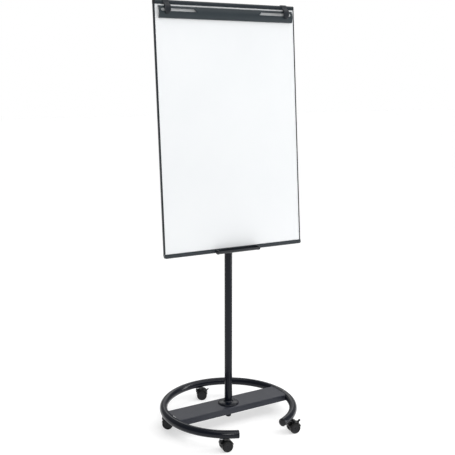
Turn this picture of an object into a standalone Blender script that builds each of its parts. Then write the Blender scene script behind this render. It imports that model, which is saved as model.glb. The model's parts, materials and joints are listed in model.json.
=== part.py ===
"""Mobile flipchart easel: a C-shaped ring base on five twin-wheel castors, a telescoping
pole, and a lacquered writing board that tilts, with a paper clamp bar, two paper hooks
and a pen tray.

Metres, +Z up, the board faces -Y. The pole's axis is the design's own Y = 0; at the end
the whole model is moved along Y so that its box is centred on the origin, on the floor.
"""
import math

import bmesh
import bpy
from mathutils import Matrix, Vector

# ---------------------------------------------------------------- driving dimensions
GAP = 0.0003                # clearance between pieces that touch
RUN = 0.0006                # clearance round a faceted pin that turns or slides

# base
RING_RADIUS = 0.3047        # centreline of the base ring
BASE_TURN = math.radians(1.7)        # the base as it stands, turned under the board
TUBE_RADIUS = 0.018         # ring tube, outside
TUBE_WALL = 0.002
RING_HALF_GAP = math.radians(22.2)   # the ring is open this far each side of the front
CHANNEL_WIDTH = 0.122
CHANNEL_HEIGHT = 0.029
CHANNEL_WALL = 0.003
CHANNEL_DROP = 0.0027       # channel top below the ring's top
FLANGE_RADIUS = 0.049
FLANGE_HEIGHT = 0.014
STUD_RADIUS = 0.005
NUT_RADIUS = 0.0135
NUT_LENGTH = 0.063
PLUG_LENGTH = 0.045

# castors
WHEEL_RADIUS = 0.025
WHEEL_WIDTH = 0.0155
HOOD_WEB = 0.016            # width of the hood's central web
HOOD_RADIUS = 0.0285
HOOD_WALL = 0.0023
CASTOR_TRAIL = 0.021        # stem axis to axle
STEM_RADIUS = 0.005
STEM_FLANGE = 0.003         # height of the stem's flange
AXLE_RADIUS = 0.003
HOOD_TOP = 0.056            # top of the hood above the floor

# pole
POLE_RADIUS = 0.018
POLE_WALL = 0.0018
POLE_TOP = 0.888
INNER_RADIUS = 0.0145
INNER_WALL = 0.0015
INNER_BOTTOM = 0.578
SLEEVE_LENGTH = 0.080
SLEEVE_RIM = 0.003
COLLAR_WALL = 0.0042
COLLAR_HEIGHT = 0.036
KNOB_RADIUS = 0.019
KNOB_HUB = 0.008            # hub between a star knob's head and what it bears on
KNOB_LOBES = 5
CLAMP_SCREW = 0.004

# board, in its own plane: across, outward from its front (n), up from its lower edge (s)
BOARD_WIDTH = 0.700
BOARD_HEIGHT = 1.097
BOARD_DEPTH = 0.0135
BOARD_LEAN = math.radians(4.4)
BOARD_BOTTOM_Z = 0.838      # lower front edge above the floor
BOARD_FRONT_Y = -0.069      # lower front edge from the pole's axis
SIDE_LIP = 0.0055           # frame seen from the front at each side
RAIL_HEIGHT = 0.0188
RAIL_DEPTH = 0.018
RAIL_WALL = 0.0018
RAIL_CAP = 0.006
PANEL_GRIP = 0.0040         # how far the panels sit in the frame
SHEET = 0.0006              # lacquered steel sheet
SHEET_FRONT = 0.0013        # front of the writing sheet behind the frame's front

# tilt joint and the board's back
PIVOT_UP = 0.270            # pivot above the board's lower edge
PIVOT_BOLT = 0.004
HEAD_WIDTH = 0.025
HEAD_RADIUS = 0.0145
EAR_WALL = 0.003
BRACKET_WALL = 0.003
BRACKET_HEIGHT = 0.070
SPINE_WIDTH = 0.090
SPINE_WEB = 0.060
SPINE_DEPTH = 0.006
SPINE_WALL = 0.0015
SPINE_BOTTOM = 0.235
SPINE_TOP = 0.930

# clamp bar and hooks
BAR_LENGTH = 0.664
BAR_HEIGHT = 0.0505
BAR_TOP_DROP = 0.0265       # bar's top edge below the board's top edge
BAR_EDGE = 0.009            # bar's edges in front of the board
BAR_BELLY = 0.016           # bar's middle in front of the board
BAR_WALL = 0.0024
SLOT_INNER = 0.162          # slot's slanted end, from the middle
SLOT_OUTER = 0.322
SLOT_HEIGHT = 0.0131
SLOT_SLANT = 0.0065
SLOT_DROP = 0.0427          # slot's centre below the board's top edge
STRIP_THICKNESS = 0.003
STRIP_HEIGHT = 0.006
HOOK_PLACE = 0.295          # hook's centre from the middle
HOOK_WIDTH = 0.030
HOOK_WALL = 0.0022
HOOK_TIP_DROP = 0.063       # tongue's tip below the board's top edge
HOOK_FRONT = 0.0265         # tongue's face in front of the board
HOOK_PIN = 0.004

# pen tray
TRAY_LENGTH = 0.210
TRAY_REACH = 0.044
TRAY_WALL = 0.002
TRAY_CAP = 0.004

# facets
ROUND = 20                  # sides of poles, wheels and turned pieces
SMALL_ROUND = 12            # sides of pins and small holes
RING_STEPS = 46

# worked out from the above
RING_Z = HOOD_TOP + GAP + STEM_FLANGE + GAP + TUBE_RADIUS
CHANNEL_TOP = RING_Z + TUBE_RADIUS - CHANNEL_DROP
RAIL_CENTRE_UP = BOARD_HEIGHT - RAIL_HEIGHT / 2
RAIL_CENTRE_BACK = 0.007
CORE_DEPTH = BOARD_DEPTH - SHEET_FRONT - SHEET - GAP - 0.0013
GROOVE_FRONT = SHEET_FRONT - GAP        # the frame's groove for the two panels
GROOVE_BACK = SHEET_FRONT + SHEET + GAP + CORE_DEPTH + GAP
PIVOT_BACK = (-BOARD_FRONT_Y - PIVOT_UP * math.sin(BOARD_LEAN)) / math.cos(BOARD_LEAN)
PIVOT_Z = BOARD_BOTTOM_Z + PIVOT_UP * math.cos(BOARD_LEAN) - PIVOT_BACK * math.sin(BOARD_LEAN)
INNER_TOP = PIVOT_Z - HEAD_RADIUS - 0.006
HEAD_PLAY = 0.0006          # side play between the head and each ear
EAR_OUTSIDE = HEAD_WIDTH / 2 + HEAD_PLAY + EAR_WALL
BRACKET_WIDTH = 2 * (EAR_OUTSIDE + KNOB_HUB - 0.002)    # clear of the knob's head

# ---------------------------------------------------------------- scene and materials
for old in list(bpy.data.objects):
    bpy.data.objects.remove(old, do_unlink=True)


def new_collection(name):
    group = bpy.data.collections.new(name)
    bpy.context.scene.collection.children.link(group)
    return group


EASEL = new_collection("flipchart_easel")
CUTTERS = new_collection("cutters")


def material(name, colour, roughness, metallic=0.0):
    made = bpy.data.materials.new(name)
    made.use_nodes = True
    shader = made.node_tree.nodes["Principled BSDF"]
    shader.inputs["Base Color"].default_value = (*colour, 1.0)
    shader.inputs["Roughness"].default_value = roughness
    shader.inputs["Metallic"].default_value = metallic
    return made


POWDER = material("black_powder_coat", (0.020, 0.022, 0.027), 0.35)
CHANNEL_COAT = material("grey_black_powder_coat", (0.045, 0.048, 0.058), 0.45)
CHARCOAL = material("charcoal_profile", (0.040, 0.045, 0.052), 0.45)
PLASTIC = material("black_plastic", (0.018, 0.018, 0.020), 0.50)
WHEEL_PLASTIC = material("castor_plastic", (0.022, 0.022, 0.025), 0.45)
LACQUER = material("white_lacquer", (0.92, 0.93, 0.93), 0.12)
BACKING = material("galvanised_back", (0.45, 0.46, 0.47), 0.45, 0.8)
STEEL = material("zinc_steel", (0.55, 0.55, 0.56), 0.35, 1.0)
RUBBER = material("rubber", (0.03, 0.03, 0.03), 0.9)


# ---------------------------------------------------------------- modelling helpers
def empty(name, parent=None, place=(0, 0, 0), turn=(0, 0, 0)):
    made = bpy.data.objects.new(name, None)
    EASEL.objects.link(made)
    made.parent = parent
    made.location = place
    made.rotation_euler = turn
    return made


def finish(mesh, name, coat, parent, place, turn, group):
    made = bpy.data.objects.new(name, mesh)
    if coat:
        mesh.materials.append(coat)
    group.objects.link(made)
    made.parent = parent
    made.location = place
    made.rotation_euler = turn
    if group is CUTTERS:
        made.hide_render = True
        made.display_type = "WIRE"
    return made


def as_mesh(source, name, coat=None, parent=None, place=(0, 0, 0), turn=(0, 0, 0), group=None):
    """The evaluated shape of a curve or a modified object, welded, as a mesh object."""
    bpy.context.view_layer.update()
    seen = source.evaluated_get(bpy.context.evaluated_depsgraph_get())
    mesh = bpy.data.meshes.new_from_object(seen)
    mesh.materials.clear()
    bpy.data.objects.remove(source, do_unlink=True)
    shape = bmesh.new()
    shape.from_mesh(mesh)
    bmesh.ops.remove_doubles(shape, verts=shape.verts, dist=0.00002)
    bmesh.ops.recalc_face_normals(shape, faces=shape.faces)
    shape.to_mesh(mesh)
    shape.free()
    mesh.name = name
    return finish(mesh, name, coat, parent, place, turn, group or EASEL)


def outline(name, loops, length, coat=None, axis="Y", **where):
    """A flat outline with its holes, extruded evenly to both sides.

    loops hold (u, v) points. axis names the direction of the extrusion: for "Y" u is X and
    v is Z, for "X" u is Y and v is Z, and for "Z" u is X and v is Y.
    """
    curve = bpy.data.curves.new(name + "_outline", "CURVE")
    curve.dimensions = "2D"
    curve.fill_mode = "BOTH"
    curve.extrude = length / 2
    for loop in loops:
        line = curve.splines.new("POLY")
        line.points.add(len(loop) - 1)
        for point, (u, v) in zip(line.points, loop):
            point.co = (u, v, 0.0, 1.0)
        line.use_cyclic_u = True
    source = bpy.data.objects.new(name + "_outline", curve)
    EASEL.objects.link(source)
    made = as_mesh(source, name, coat, **where)
    turns = {
        "X": Matrix(((0, 0, 1), (1, 0, 0), (0, 1, 0))),
        "Y": Matrix(((1, 0, 0), (0, 0, -1), (0, 1, 0))),
        "Z": Matrix.Identity(3),
    }
    made.data.transform(turns[axis].to_4x4())
    return made


def turned(name, profile, coat=None, steps=ROUND, closed=True, axis="Z", **where):
    """A profile of (radius, height) points turned once round an axis."""
    mesh = bpy.data.meshes.new(name + "_profile")
    points = [(radius, 0.0, height) for radius, height in profile]
    edges = [(i, i + 1) for i in range(len(points) - 1)]
    if closed:
        edges.append((len(points) - 1, 0))
    mesh.from_pydata(points, edges, [])
    source = bpy.data.objects.new(name + "_profile", mesh)
    EASEL.objects.link(source)
    screw = source.modifiers.new("turn", "SCREW")
    screw.steps = steps
    screw.render_steps = steps
    screw.use_merge_vertices = True
    screw.merge_threshold = 0.00005
    made = as_mesh(source, name, coat, **where)
    turns = {"X": Matrix.Rotation(math.pi / 2, 4, "Y"), "Y": Matrix.Rotation(-math.pi / 2, 4, "X")}
    if axis in turns:
        made.data.transform(turns[axis])
    return made


def rod(name, radius, start, end, coat=None, steps=SMALL_ROUND, axis="Z", **where):
    """A plain round bar from start to end along an axis."""
    profile = [(0.0, end), (radius, end), (radius, start), (0.0, start)]
    return turned(name, profile, coat, steps, closed=False, axis=axis, **where)


def tube(name, radius, wall, start, end, coat=None, steps=ROUND, **where):
    """A round tube from start to end along Z."""
    bore = radius - wall
    profile = [(radius, end), (radius, start), (bore, start), (bore, end)]
    return turned(name, profile, coat, steps, **where)


def block(name, size, centre=(0, 0, 0), coat=None, **where):
    """A rectangular block of a size round a centre."""
    shape = bmesh.new()
    bmesh.ops.create_cube(shape, size=1.0)
    bmesh.ops.scale(shape, vec=size, verts=shape.verts)
    bmesh.ops.translate(shape, vec=centre, verts=shape.verts)
    mesh = bpy.data.meshes.new(name)
    shape.to_mesh(mesh)
    shape.free()
    group = where.pop("group", EASEL)
    return finish(mesh, name, coat, where.get("parent"), where.get("place", (0, 0, 0)),
                  where.get("turn", (0, 0, 0)), group)


def boolean(target, operation, tools):
    """Join, cut or intersect target with each tool; a tool for a join is used up."""
    for tool in tools:
        change = target.modifiers.new(operation.lower(), "BOOLEAN")
        change.operation = operation
        change.object = tool
        change.solver = "EXACT"
    bpy.context.view_layer.update()
    seen = target.evaluated_get(bpy.context.evaluated_depsgraph_get())
    mesh = bpy.data.meshes.new_from_object(seen)
    target.modifiers.clear()
    target.data = mesh
    for tool in tools:
        bpy.data.objects.remove(tool, do_unlink=True)
    return target


def join(target, *tools):
    return boolean(target, "UNION", tools)


def cut(target, *tools):
    return boolean(target, "DIFFERENCE", tools)


def smooth(made, angle=40):
    made.data.shade_smooth()
    made.data.set_sharp_from_angle(angle=math.radians(angle))
    return made


def arc(radius, start, end, steps, centre=(0.0, 0.0)):
    """Points on an arc, angles in degrees from the first axis towards the second."""
    return [(centre[0] + radius * math.cos(math.radians(start + (end - start) * i / steps)),
             centre[1] + radius * math.sin(math.radians(start + (end - start) * i / steps)))
            for i in range(steps + 1)]


def rounded_box(low_u, low_v, high_u, high_v, radius, steps=3, corners=(1, 1, 1, 1)):
    """A rectangle's outline; corners says which of the four from low-low, anticlockwise, are round."""
    centres = [(low_u, low_v, 1, 1, 180), (high_u, low_v, -1, 1, 270),
               (high_u, high_v, -1, -1, 0), (low_u, high_v, 1, -1, 90)]
    points = []
    for rounded, (u, v, side_u, side_v, start) in zip(corners, centres):
        if rounded:
            centre = (u + side_u * radius, v + side_v * radius)
            points += arc(radius, start, start + 90, steps, centre)
        else:
            points.append((u, v))
    return points


def lobed(radius, lobes, depth, steps):
    """A star knob's outline: the radius rises and falls once for each lobe."""
    points = []
    for i in range(steps):
        angle = 2 * math.pi * i / steps
        reach = radius - depth * (1 - math.cos(lobes * angle)) / 2
        points.append((reach * math.cos(angle), reach * math.sin(angle)))
    return points


# ---------------------------------------------------------------- base
MODEL = empty("easel_origin")
BASE = empty("base_turn", MODEL, turn=(0.0, 0.0, BASE_TURN))


def ring_point(angle, radius=RING_RADIUS):
    """A point on the ring's centreline; the angle starts at the front and runs to the right."""
    return Vector((radius * math.sin(angle), -radius * math.cos(angle), RING_Z))


def ring_curve(name, radius, start, end, closed_ends):
    """A tube of a radius along the ring's centreline."""
    curve = bpy.data.curves.new(name, "CURVE")
    curve.dimensions = "3D"
    curve.bevel_depth = radius
    curve.bevel_resolution = 2
    curve.use_fill_caps = closed_ends
    line = curve.splines.new("POLY")
    line.points.add(RING_STEPS)
    for i, point in enumerate(line.points):
        place = ring_point(start + (end - start) * i / RING_STEPS)
        point.co = (*place, 1.0)
    made = bpy.data.objects.new(name, curve)
    EASEL.objects.link(made)
    return made


CASTOR_NAMES = ("front_right", "side_right", "back", "side_left", "front_left")
CASTOR_ANGLES = [math.radians(36 + 72 * i) for i in range(5)]
CASTOR_HEADINGS = [math.radians(a) for a in (-8, -22, -30, -44, -8)]
BRAKED = ("front_right", "back")


def make_ring():
    """The ring: an open-ended bent tube with a hole underneath for each castor's stem."""
    skin = ring_curve("ring_skin", TUBE_RADIUS, RING_HALF_GAP, 2 * math.pi - RING_HALF_GAP, False)
    ring = as_mesh(skin, "base_ring", POWDER, BASE)
    wall = ring.modifiers.new("wall", "SOLIDIFY")
    wall.thickness = TUBE_WALL
    wall.offset = -1.0
    wall.use_even_offset = True
    holes = []
    for angle in CASTOR_ANGLES:
        place = ring_point(angle)
        hole = rod("stem_hole", STEM_RADIUS + RUN, RING_Z - TUBE_RADIUS - 0.004, RING_Z,
                   group=CUTTERS, parent=BASE, place=(place.x, place.y, 0.0))
        holes.append(hole)
    boolean(ring, "DIFFERENCE", holes)
    return smooth(ring)


def make_ring_cap(name, angle, side):
    """A domed plug for one end of the ring, facing along the tube; side is the end's side of the gap."""
    bore = TUBE_RADIUS - TUBE_WALL
    profile = [(0.0, 0.0036), (0.012, 0.0034), (0.0165, 0.0026), (TUBE_RADIUS, 0.0008),
               (TUBE_RADIUS, GAP), (bore - 0.0018, GAP), (bore - 0.0018, -0.010), (0.0, -0.010)]
    place = ring_point(angle)
    chord = angle + side * (math.pi - RING_HALF_GAP) / RING_STEPS
    along = Vector((-side * math.cos(chord), -side * math.sin(chord), 0.0))
    turn = along.to_track_quat("Z", "Y").to_euler()
    return smooth(turned(name, profile, PLASTIC, steps=16, closed=False, parent=BASE,
                         place=place, turn=turn))


def make_channel():
    """An inverted U across the ring, its ends cut to the ring's tube."""
    half = CHANNEL_WIDTH / 2
    top = CHANNEL_TOP
    low = top - CHANNEL_HEIGHT
    inner = half - CHANNEL_WALL
    bend = 0.004
    outer_line = [(-half, low)] + arc(bend, 180, 90, 3, (-half + bend, top - bend))
    outer_line += arc(bend, 90, 0, 3, (half - bend, top - bend)) + [(half, low)]
    inner_line = [(inner, low), (inner, top - CHANNEL_WALL), (-inner, top - CHANNEL_WALL), (-inner, low)]
    channel = outline("cross_channel", [outer_line + inner_line], 2 * RING_RADIUS, CHANNEL_COAT,
                      axis="X", parent=BASE)
    envelope = ring_curve("ring_envelope", TUBE_RADIUS + GAP, RING_HALF_GAP,
                          2 * math.pi - RING_HALF_GAP, True)
    envelope = as_mesh(envelope, "ring_envelope", parent=BASE, group=CUTTERS)
    stud_hole = rod("stud_hole", STUD_RADIUS + RUN, low, top + 0.01, group=CUTTERS)
    return smooth(boolean(channel, "DIFFERENCE", [envelope, stud_hole]))


def make_pole_foot():
    """The rosette, the stud with its plug in the pole and its cap nut under the channel."""
    seat = CHANNEL_TOP + GAP
    bore = POLE_RADIUS + GAP
    profile = [(FLANGE_RADIUS, seat), (FLANGE_RADIUS, seat + 0.0022), (FLANGE_RADIUS - 0.0018, seat + 0.004),
               (FLANGE_RADIUS - 0.011, seat + 0.0072), (bore + 0.0075, seat + 0.0098),
               (bore + 0.004, seat + FLANGE_HEIGHT - 0.002), (bore + 0.0028, seat + FLANGE_HEIGHT),
               (bore, seat + FLANGE_HEIGHT), (bore, seat)]
    smooth(turned("pole_flange", profile, POWDER, steps=28, parent=MODEL), 50)
    plug = POLE_RADIUS - POLE_WALL - 0.0006
    hole = STUD_RADIUS + RUN
    smooth(turned("pole_plug", [(plug, seat + PLUG_LENGTH), (plug, seat), (hole, seat),
                                (hole, seat + PLUG_LENGTH)], STEEL, parent=MODEL))
    under = CHANNEL_TOP - CHANNEL_WALL - GAP
    end = under - NUT_LENGTH
    floor = end + 0.012
    nut = [(0.0, end), (NUT_RADIUS - 0.003, end), (NUT_RADIUS, end + 0.003), (NUT_RADIUS, under - 0.006),
           (NUT_RADIUS + 0.0065, under - 0.004), (NUT_RADIUS + 0.0065, under), (hole, under),
           (hole, floor), (0.0, floor)]
    smooth(turned("base_nut", nut, PLASTIC, closed=False, parent=MODEL))
    smooth(rod("base_bolt", STUD_RADIUS, floor + 0.001, seat + PLUG_LENGTH - 0.003, STEEL, parent=MODEL))


# ---------------------------------------------------------------- castors
def make_hood(name, parent, braked):
    """Fender, central web, stem neck and boss; a braked castor's hood also has two lever lugs."""
    trail = CASTOR_TRAIL
    width = 2 * WHEEL_WIDTH + HOOD_WEB + 0.001
    inner = HOOD_RADIUS - HOOD_WALL
    centre = (trail, WHEEL_RADIUS)
    shell = arc(HOOD_RADIUS, 12, 168, 12, centre) + arc(inner, 168, 12, 12, centre)
    hood = outline(name, [shell], width, WHEEL_PLASTIC, parent=parent)
    web = arc(inner + HOOD_WALL / 2, 25, 160, 8, centre) + arc(0.0085, 200, 340, 5, centre)
    boss_low = WHEEL_RADIUS + inner - 0.0005
    neck = [(-0.0095, boss_low + 0.002), (-0.0095, 0.0395), (-0.0060, 0.0360), (0.0100, 0.0360),
            (0.0100, boss_low + 0.002)]
    tools = [outline("web", [web], HOOD_WEB, parent=parent),
             outline("neck", [neck], HOOD_WEB - 0.0004, parent=parent),
             rod("boss", 0.0100, boss_low, HOOD_TOP, parent=parent)]
    if braked:
        lug_place, lug_turn = lever_pivot()
        for side in (-1, 1):
            tools.append(block("lug", (0.0060, 0.0022, 0.0060), (-0.0015, side * 0.0074, 0.0),
                               parent=parent, place=lug_place, turn=(0.0, -lug_turn, 0.0)))
    join(hood, *tools)
    stem_bore = rod("stem_bore", STEM_RADIUS + RUN, HOOD_TOP - 0.018, HOOD_TOP + 0.01, parent=parent,
                    group=CUTTERS)
    axle_bore = rod("axle_bore", AXLE_RADIUS + RUN, -width, width, axis="Y", parent=parent,
                    group=CUTTERS, place=(trail, 0.0, WHEEL_RADIUS))
    return smooth(cut(hood, stem_bore, axle_bore), 35)


def lever_pivot():
    """Where the brake lever turns on the hood, in the castor's frame, and the angle it is at."""
    angle = math.radians(42)
    reach = HOOD_RADIUS + 0.0022
    return (CASTOR_TRAIL + reach * math.cos(angle), 0.0, WHEEL_RADIUS + reach * math.sin(angle)), angle


def make_lever(name, parent):
    """A flat tab on a round hub that lies between the hood's lugs."""
    place, angle = lever_pivot()
    hub = arc(0.0021, 70, 290, 6)
    arm = [(0.0075, -0.0014), (0.0105, -0.0026), (0.0130, -0.0015), (0.0135, 0.0008),
           (0.0110, 0.0022), (0.0075, 0.0012)]
    lever = outline(name, [hub + arm], 0.0118, WHEEL_PLASTIC, parent=parent, place=place,
                    turn=(0.0, -angle, 0.0))
    return smooth(lever)


def make_wheel(name, parent, side):
    """A wheel with a closed outer face and a blind bore for the axle on its inner side."""
    radius = WHEEL_RADIUS
    width = WHEEL_WIDTH
    bore = AXLE_RADIUS + RUN
    profile = [(0.0, width - 0.0008), (radius - 0.0055, width - 0.0008), (radius - 0.0038, width),
               (radius, width - 0.0022), (radius, 0.0010), (radius - 0.0010, 0.0),
               (bore, 0.0), (bore, width - 0.0035), (0.0, width - 0.0035)]
    inner_face = HOOD_WEB / 2 + 0.0006
    wheel = turned(name, profile, WHEEL_PLASTIC, closed=False, parent=parent,
                   place=(CASTOR_TRAIL, side * inner_face, WHEEL_RADIUS),
                   turn=(-side * math.pi / 2, 0.0, 0.0))
    return smooth(wheel, 50)


def make_castor(name, angle, heading):
    """One twin-wheel castor under the ring; its trail points along the heading."""
    place = ring_point(angle)
    braked = name in BRAKED
    swivel = empty("castor_" + name + "_swivel", BASE, (place.x, place.y, 0.0), (0.0, 0.0, heading))
    label = "castor_" + name + "_"
    bottom = HOOD_TOP - 0.016
    stem_end = RING_Z - TUBE_RADIUS + 0.024
    rise = HOOD_TOP + GAP
    stem = [(0.0, bottom), (STEM_RADIUS, bottom), (STEM_RADIUS, rise), (0.0090, rise),
            (0.0090, rise + STEM_FLANGE), (STEM_RADIUS, rise + STEM_FLANGE),
            (STEM_RADIUS, stem_end), (0.0, stem_end)]
    smooth(turned(label + "stem", stem, STEEL, SMALL_ROUND, closed=False, parent=swivel))
    make_hood(label + "hood", swivel, braked)
    reach = HOOD_WEB / 2 + WHEEL_WIDTH - 0.0045
    smooth(rod(label + "axle", AXLE_RADIUS, -reach, reach, STEEL, axis="Y", parent=swivel,
               place=(CASTOR_TRAIL, 0.0, WHEEL_RADIUS)))
    make_wheel(label + "wheel_left", swivel, 1)
    make_wheel(label + "wheel_right", swivel, -1)
    if braked:
        make_lever(label + "brake", swivel)


# ---------------------------------------------------------------- pole
COLLAR_TOP = POLE_TOP - 0.002
SCREW_Z = COLLAR_TOP - COLLAR_HEIGHT / 2


def screw_hole():
    """A round cutter along +Y at the clamp screw's height."""
    return rod("screw_hole", CLAMP_SCREW + RUN, 0.010, 0.060, axis="Y", group=CUTTERS,
               place=(0.0, 0.0, SCREW_Z))


def make_knob(name, parent, place, turn, shaft, screw_end):
    """A star knob along its own +Z: a lobed head, a hub and a screw or a bore.

    shaft is the screw's radius, screw_end how far it reaches below the hub; a screw_end of
    0 gives the knob a blind bore for a bolt in place of its own screw.
    """
    thickness = 0.014
    hub = KNOB_HUB
    head = outline(name, [lobed(KNOB_RADIUS, KNOB_LOBES, 0.0045, 40)], thickness, PLASTIC, axis="Z",
                   parent=parent, place=place, turn=turn)
    head.data.transform(Matrix.Translation((0, 0, hub + thickness / 2)))
    edge = head.modifiers.new("edge", "BEVEL")
    edge.width = 0.002
    edge.segments = 1
    edge.limit_method = "ANGLE"
    edge.angle_limit = math.radians(50)
    where = {"parent": parent, "place": place, "turn": turn}
    join(head, rod("hub", 0.0085, 0.0, hub + 0.001, steps=ROUND, **where))
    if screw_end:
        join(head, rod("screw", shaft, -screw_end, 0.001, steps=SMALL_ROUND, **where))
    else:
        cut(head, rod("bore", shaft + RUN, -0.005, hub + thickness - 0.004, group=CUTTERS, **where))
    return smooth(head, 35)


def make_pole():
    """The lower tube with its sleeve, collar and clamp knob, and the inner tube that slides."""
    pole = tube("pole_outer", POLE_RADIUS, POLE_WALL, CHANNEL_TOP + GAP, POLE_TOP, POWDER, parent=MODEL)
    smooth(cut(pole, screw_hole()))
    bore = POLE_RADIUS - POLE_WALL - GAP
    inner = INNER_RADIUS + GAP
    seat = POLE_TOP + GAP
    sleeve = turned("guide_sleeve", [(bore, seat), (bore, seat - SLEEVE_LENGTH), (inner, seat - SLEEVE_LENGTH),
                                     (inner, seat + SLEEVE_RIM), (POLE_RADIUS, seat + SLEEVE_RIM),
                                     (POLE_RADIUS, seat)], PLASTIC, parent=MODEL)
    smooth(cut(sleeve, screw_hole()))
    ring = POLE_RADIUS + GAP
    collar = tube("clamp_collar", ring + COLLAR_WALL, COLLAR_WALL, COLLAR_TOP - COLLAR_HEIGHT, COLLAR_TOP,
                  PLASTIC, parent=MODEL)
    boss_end = ring + COLLAR_WALL + 0.008
    join(collar, rod("boss", 0.011, ring + COLLAR_WALL / 2, boss_end, steps=16, axis="Y",
                     place=(0.0, 0.0, SCREW_Z), parent=MODEL))
    smooth(cut(collar, screw_hole()))
    knob_seat = boss_end + GAP
    make_knob("height_knob", MODEL, (0.0, knob_seat, SCREW_Z), (-math.pi / 2, 0.0, 0.0), CLAMP_SCREW,
              knob_seat - INNER_RADIUS - GAP)
    mast = empty("mast_slide", MODEL)
    smooth(tube("pole_inner", INNER_RADIUS, INNER_WALL, INNER_BOTTOM, INNER_TOP, POWDER, parent=mast))
    make_tilt_head(mast)


def make_tilt_head(mast):
    """A spigot in the inner tube, a neck, and a round boss across for the pivot bolt."""
    spigot = INNER_RADIUS - INNER_WALL - GAP
    head = outline("tilt_head", [arc(HEAD_RADIUS, 0, 345, 23)], HEAD_WIDTH, POWDER, axis="X", parent=mast,
                   place=(0.0, 0.0, PIVOT_Z))
    neck_radius = HEAD_WIDTH / 2 - 0.001
    seat = INNER_TOP + GAP
    profile = [(0.0, INNER_TOP - 0.035), (spigot, INNER_TOP - 0.035), (spigot, seat), (INNER_RADIUS, seat),
               (INNER_RADIUS, seat + 0.002), (neck_radius, seat + 0.005), (neck_radius, PIVOT_Z), (0.0, PIVOT_Z)]
    join(head, turned("neck", profile, closed=False, parent=mast))
    smooth(cut(head, rod("bolt_hole", PIVOT_BOLT + RUN, -0.03, 0.03, axis="X", group=CUTTERS,
                         place=(0.0, 0.0, PIVOT_Z))))


# ---------------------------------------------------------------- board
BOARD = empty("board_tilt", MODEL, (0.0, 0.0, PIVOT_Z), (-BOARD_LEAN, 0.0, 0.0))
HALF = BOARD_WIDTH / 2


def board_place(across=0.0, back=0.0, up=0.0):
    """A place given across, back from the board's front and up from its lower edge."""
    return (across, back - PIVOT_BACK, up - PIVOT_UP)


def on_board(across=0.0, back=0.0, up=0.0):
    return {"parent": BOARD, "place": board_place(across, back, up)}


def make_panels():
    """The writing sheet and, behind it, the core; both sit in the frame's groove."""
    edge = SIDE_LIP - PANEL_GRIP
    width = BOARD_WIDTH - 2 * edge
    low = RAIL_HEIGHT - PANEL_GRIP
    height = BOARD_HEIGHT - 2 * low
    middle = low + height / 2
    block("writing_panel", (width, SHEET, height), coat=LACQUER,
          **on_board(0.0, SHEET_FRONT + SHEET / 2, middle))
    core_front = SHEET_FRONT + SHEET + GAP
    block("back_panel", (width, CORE_DEPTH, height), coat=BACKING,
          **on_board(0.0, core_front + CORE_DEPTH / 2, middle))


def make_side(name, side):
    """A side profile: an edge wall with a lip in front of the panels and one behind."""
    edge = SIDE_LIP - PANEL_GRIP - GAP
    points = [(HALF - SIDE_LIP, 0.0)] + arc(0.0012, 270, 360, 3, (HALF - 0.0012, 0.0012))
    points += arc(0.0020, 0, 90, 3, (HALF - 0.0020, BOARD_DEPTH - 0.0020))
    points += [(HALF - SIDE_LIP, BOARD_DEPTH), (HALF - SIDE_LIP, GROOVE_BACK), (HALF - edge, GROOVE_BACK),
               (HALF - edge, GROOVE_FRONT), (HALF - SIDE_LIP, GROOVE_FRONT)]
    loop = [(side * u, v) for u, v in points]
    low = RAIL_HEIGHT + GAP
    length = BOARD_HEIGHT - 2 * low
    return smooth(outline(name, [loop], length, CHARCOAL, axis="Z", **on_board(0.0, 0.0, low + length / 2)))


def make_bottom_rail():
    """The lower profile, whose front swells a little, with round lower corners."""
    floor = RAIL_HEIGHT - PANEL_GRIP - GAP
    top = RAIL_HEIGHT
    swell = 0.0035
    depth = BOARD_DEPTH + 0.001
    loop = [(0.0, top), (-swell * 0.7, top - 0.004), (-swell, top - 0.008), (-swell * 0.75, 0.004)]
    loop += arc(0.003, 190, 270, 2, (0.0015, 0.003)) + arc(0.003, 270, 360, 2, (depth - 0.003, 0.003))
    loop += [(depth, top), (GROOVE_BACK, top), (GROOVE_BACK, floor), (GROOVE_FRONT, floor),
             (GROOVE_FRONT, top)]
    rail = outline("frame_bottom", [loop], BOARD_WIDTH, CHARCOAL, axis="X", **on_board())
    corner = 0.010
    for side in (-1, 1):
        shape = [(side * (HALF + 0.01), -0.01), (side * (HALF + 0.01), corner)]
        shape += [(side * (HALF - corner + u), corner - v)
                  for u, v in arc(corner, 0, 90, 5)] + [(side * (HALF - corner), -0.01)]
        cut(rail, outline("corner", [shape], 0.08, group=CUTTERS, **on_board()))
    return smooth(rail)


def rail_section(grow=0.0):
    """The top rail's outline round its own centre."""
    half_depth = RAIL_DEPTH / 2 + grow
    half_height = RAIL_HEIGHT / 2 + grow
    return rounded_box(-half_depth, -half_height, half_depth, half_height, 0.006 + grow, 4,
                       corners=(0, 0, 1, 1))


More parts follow.
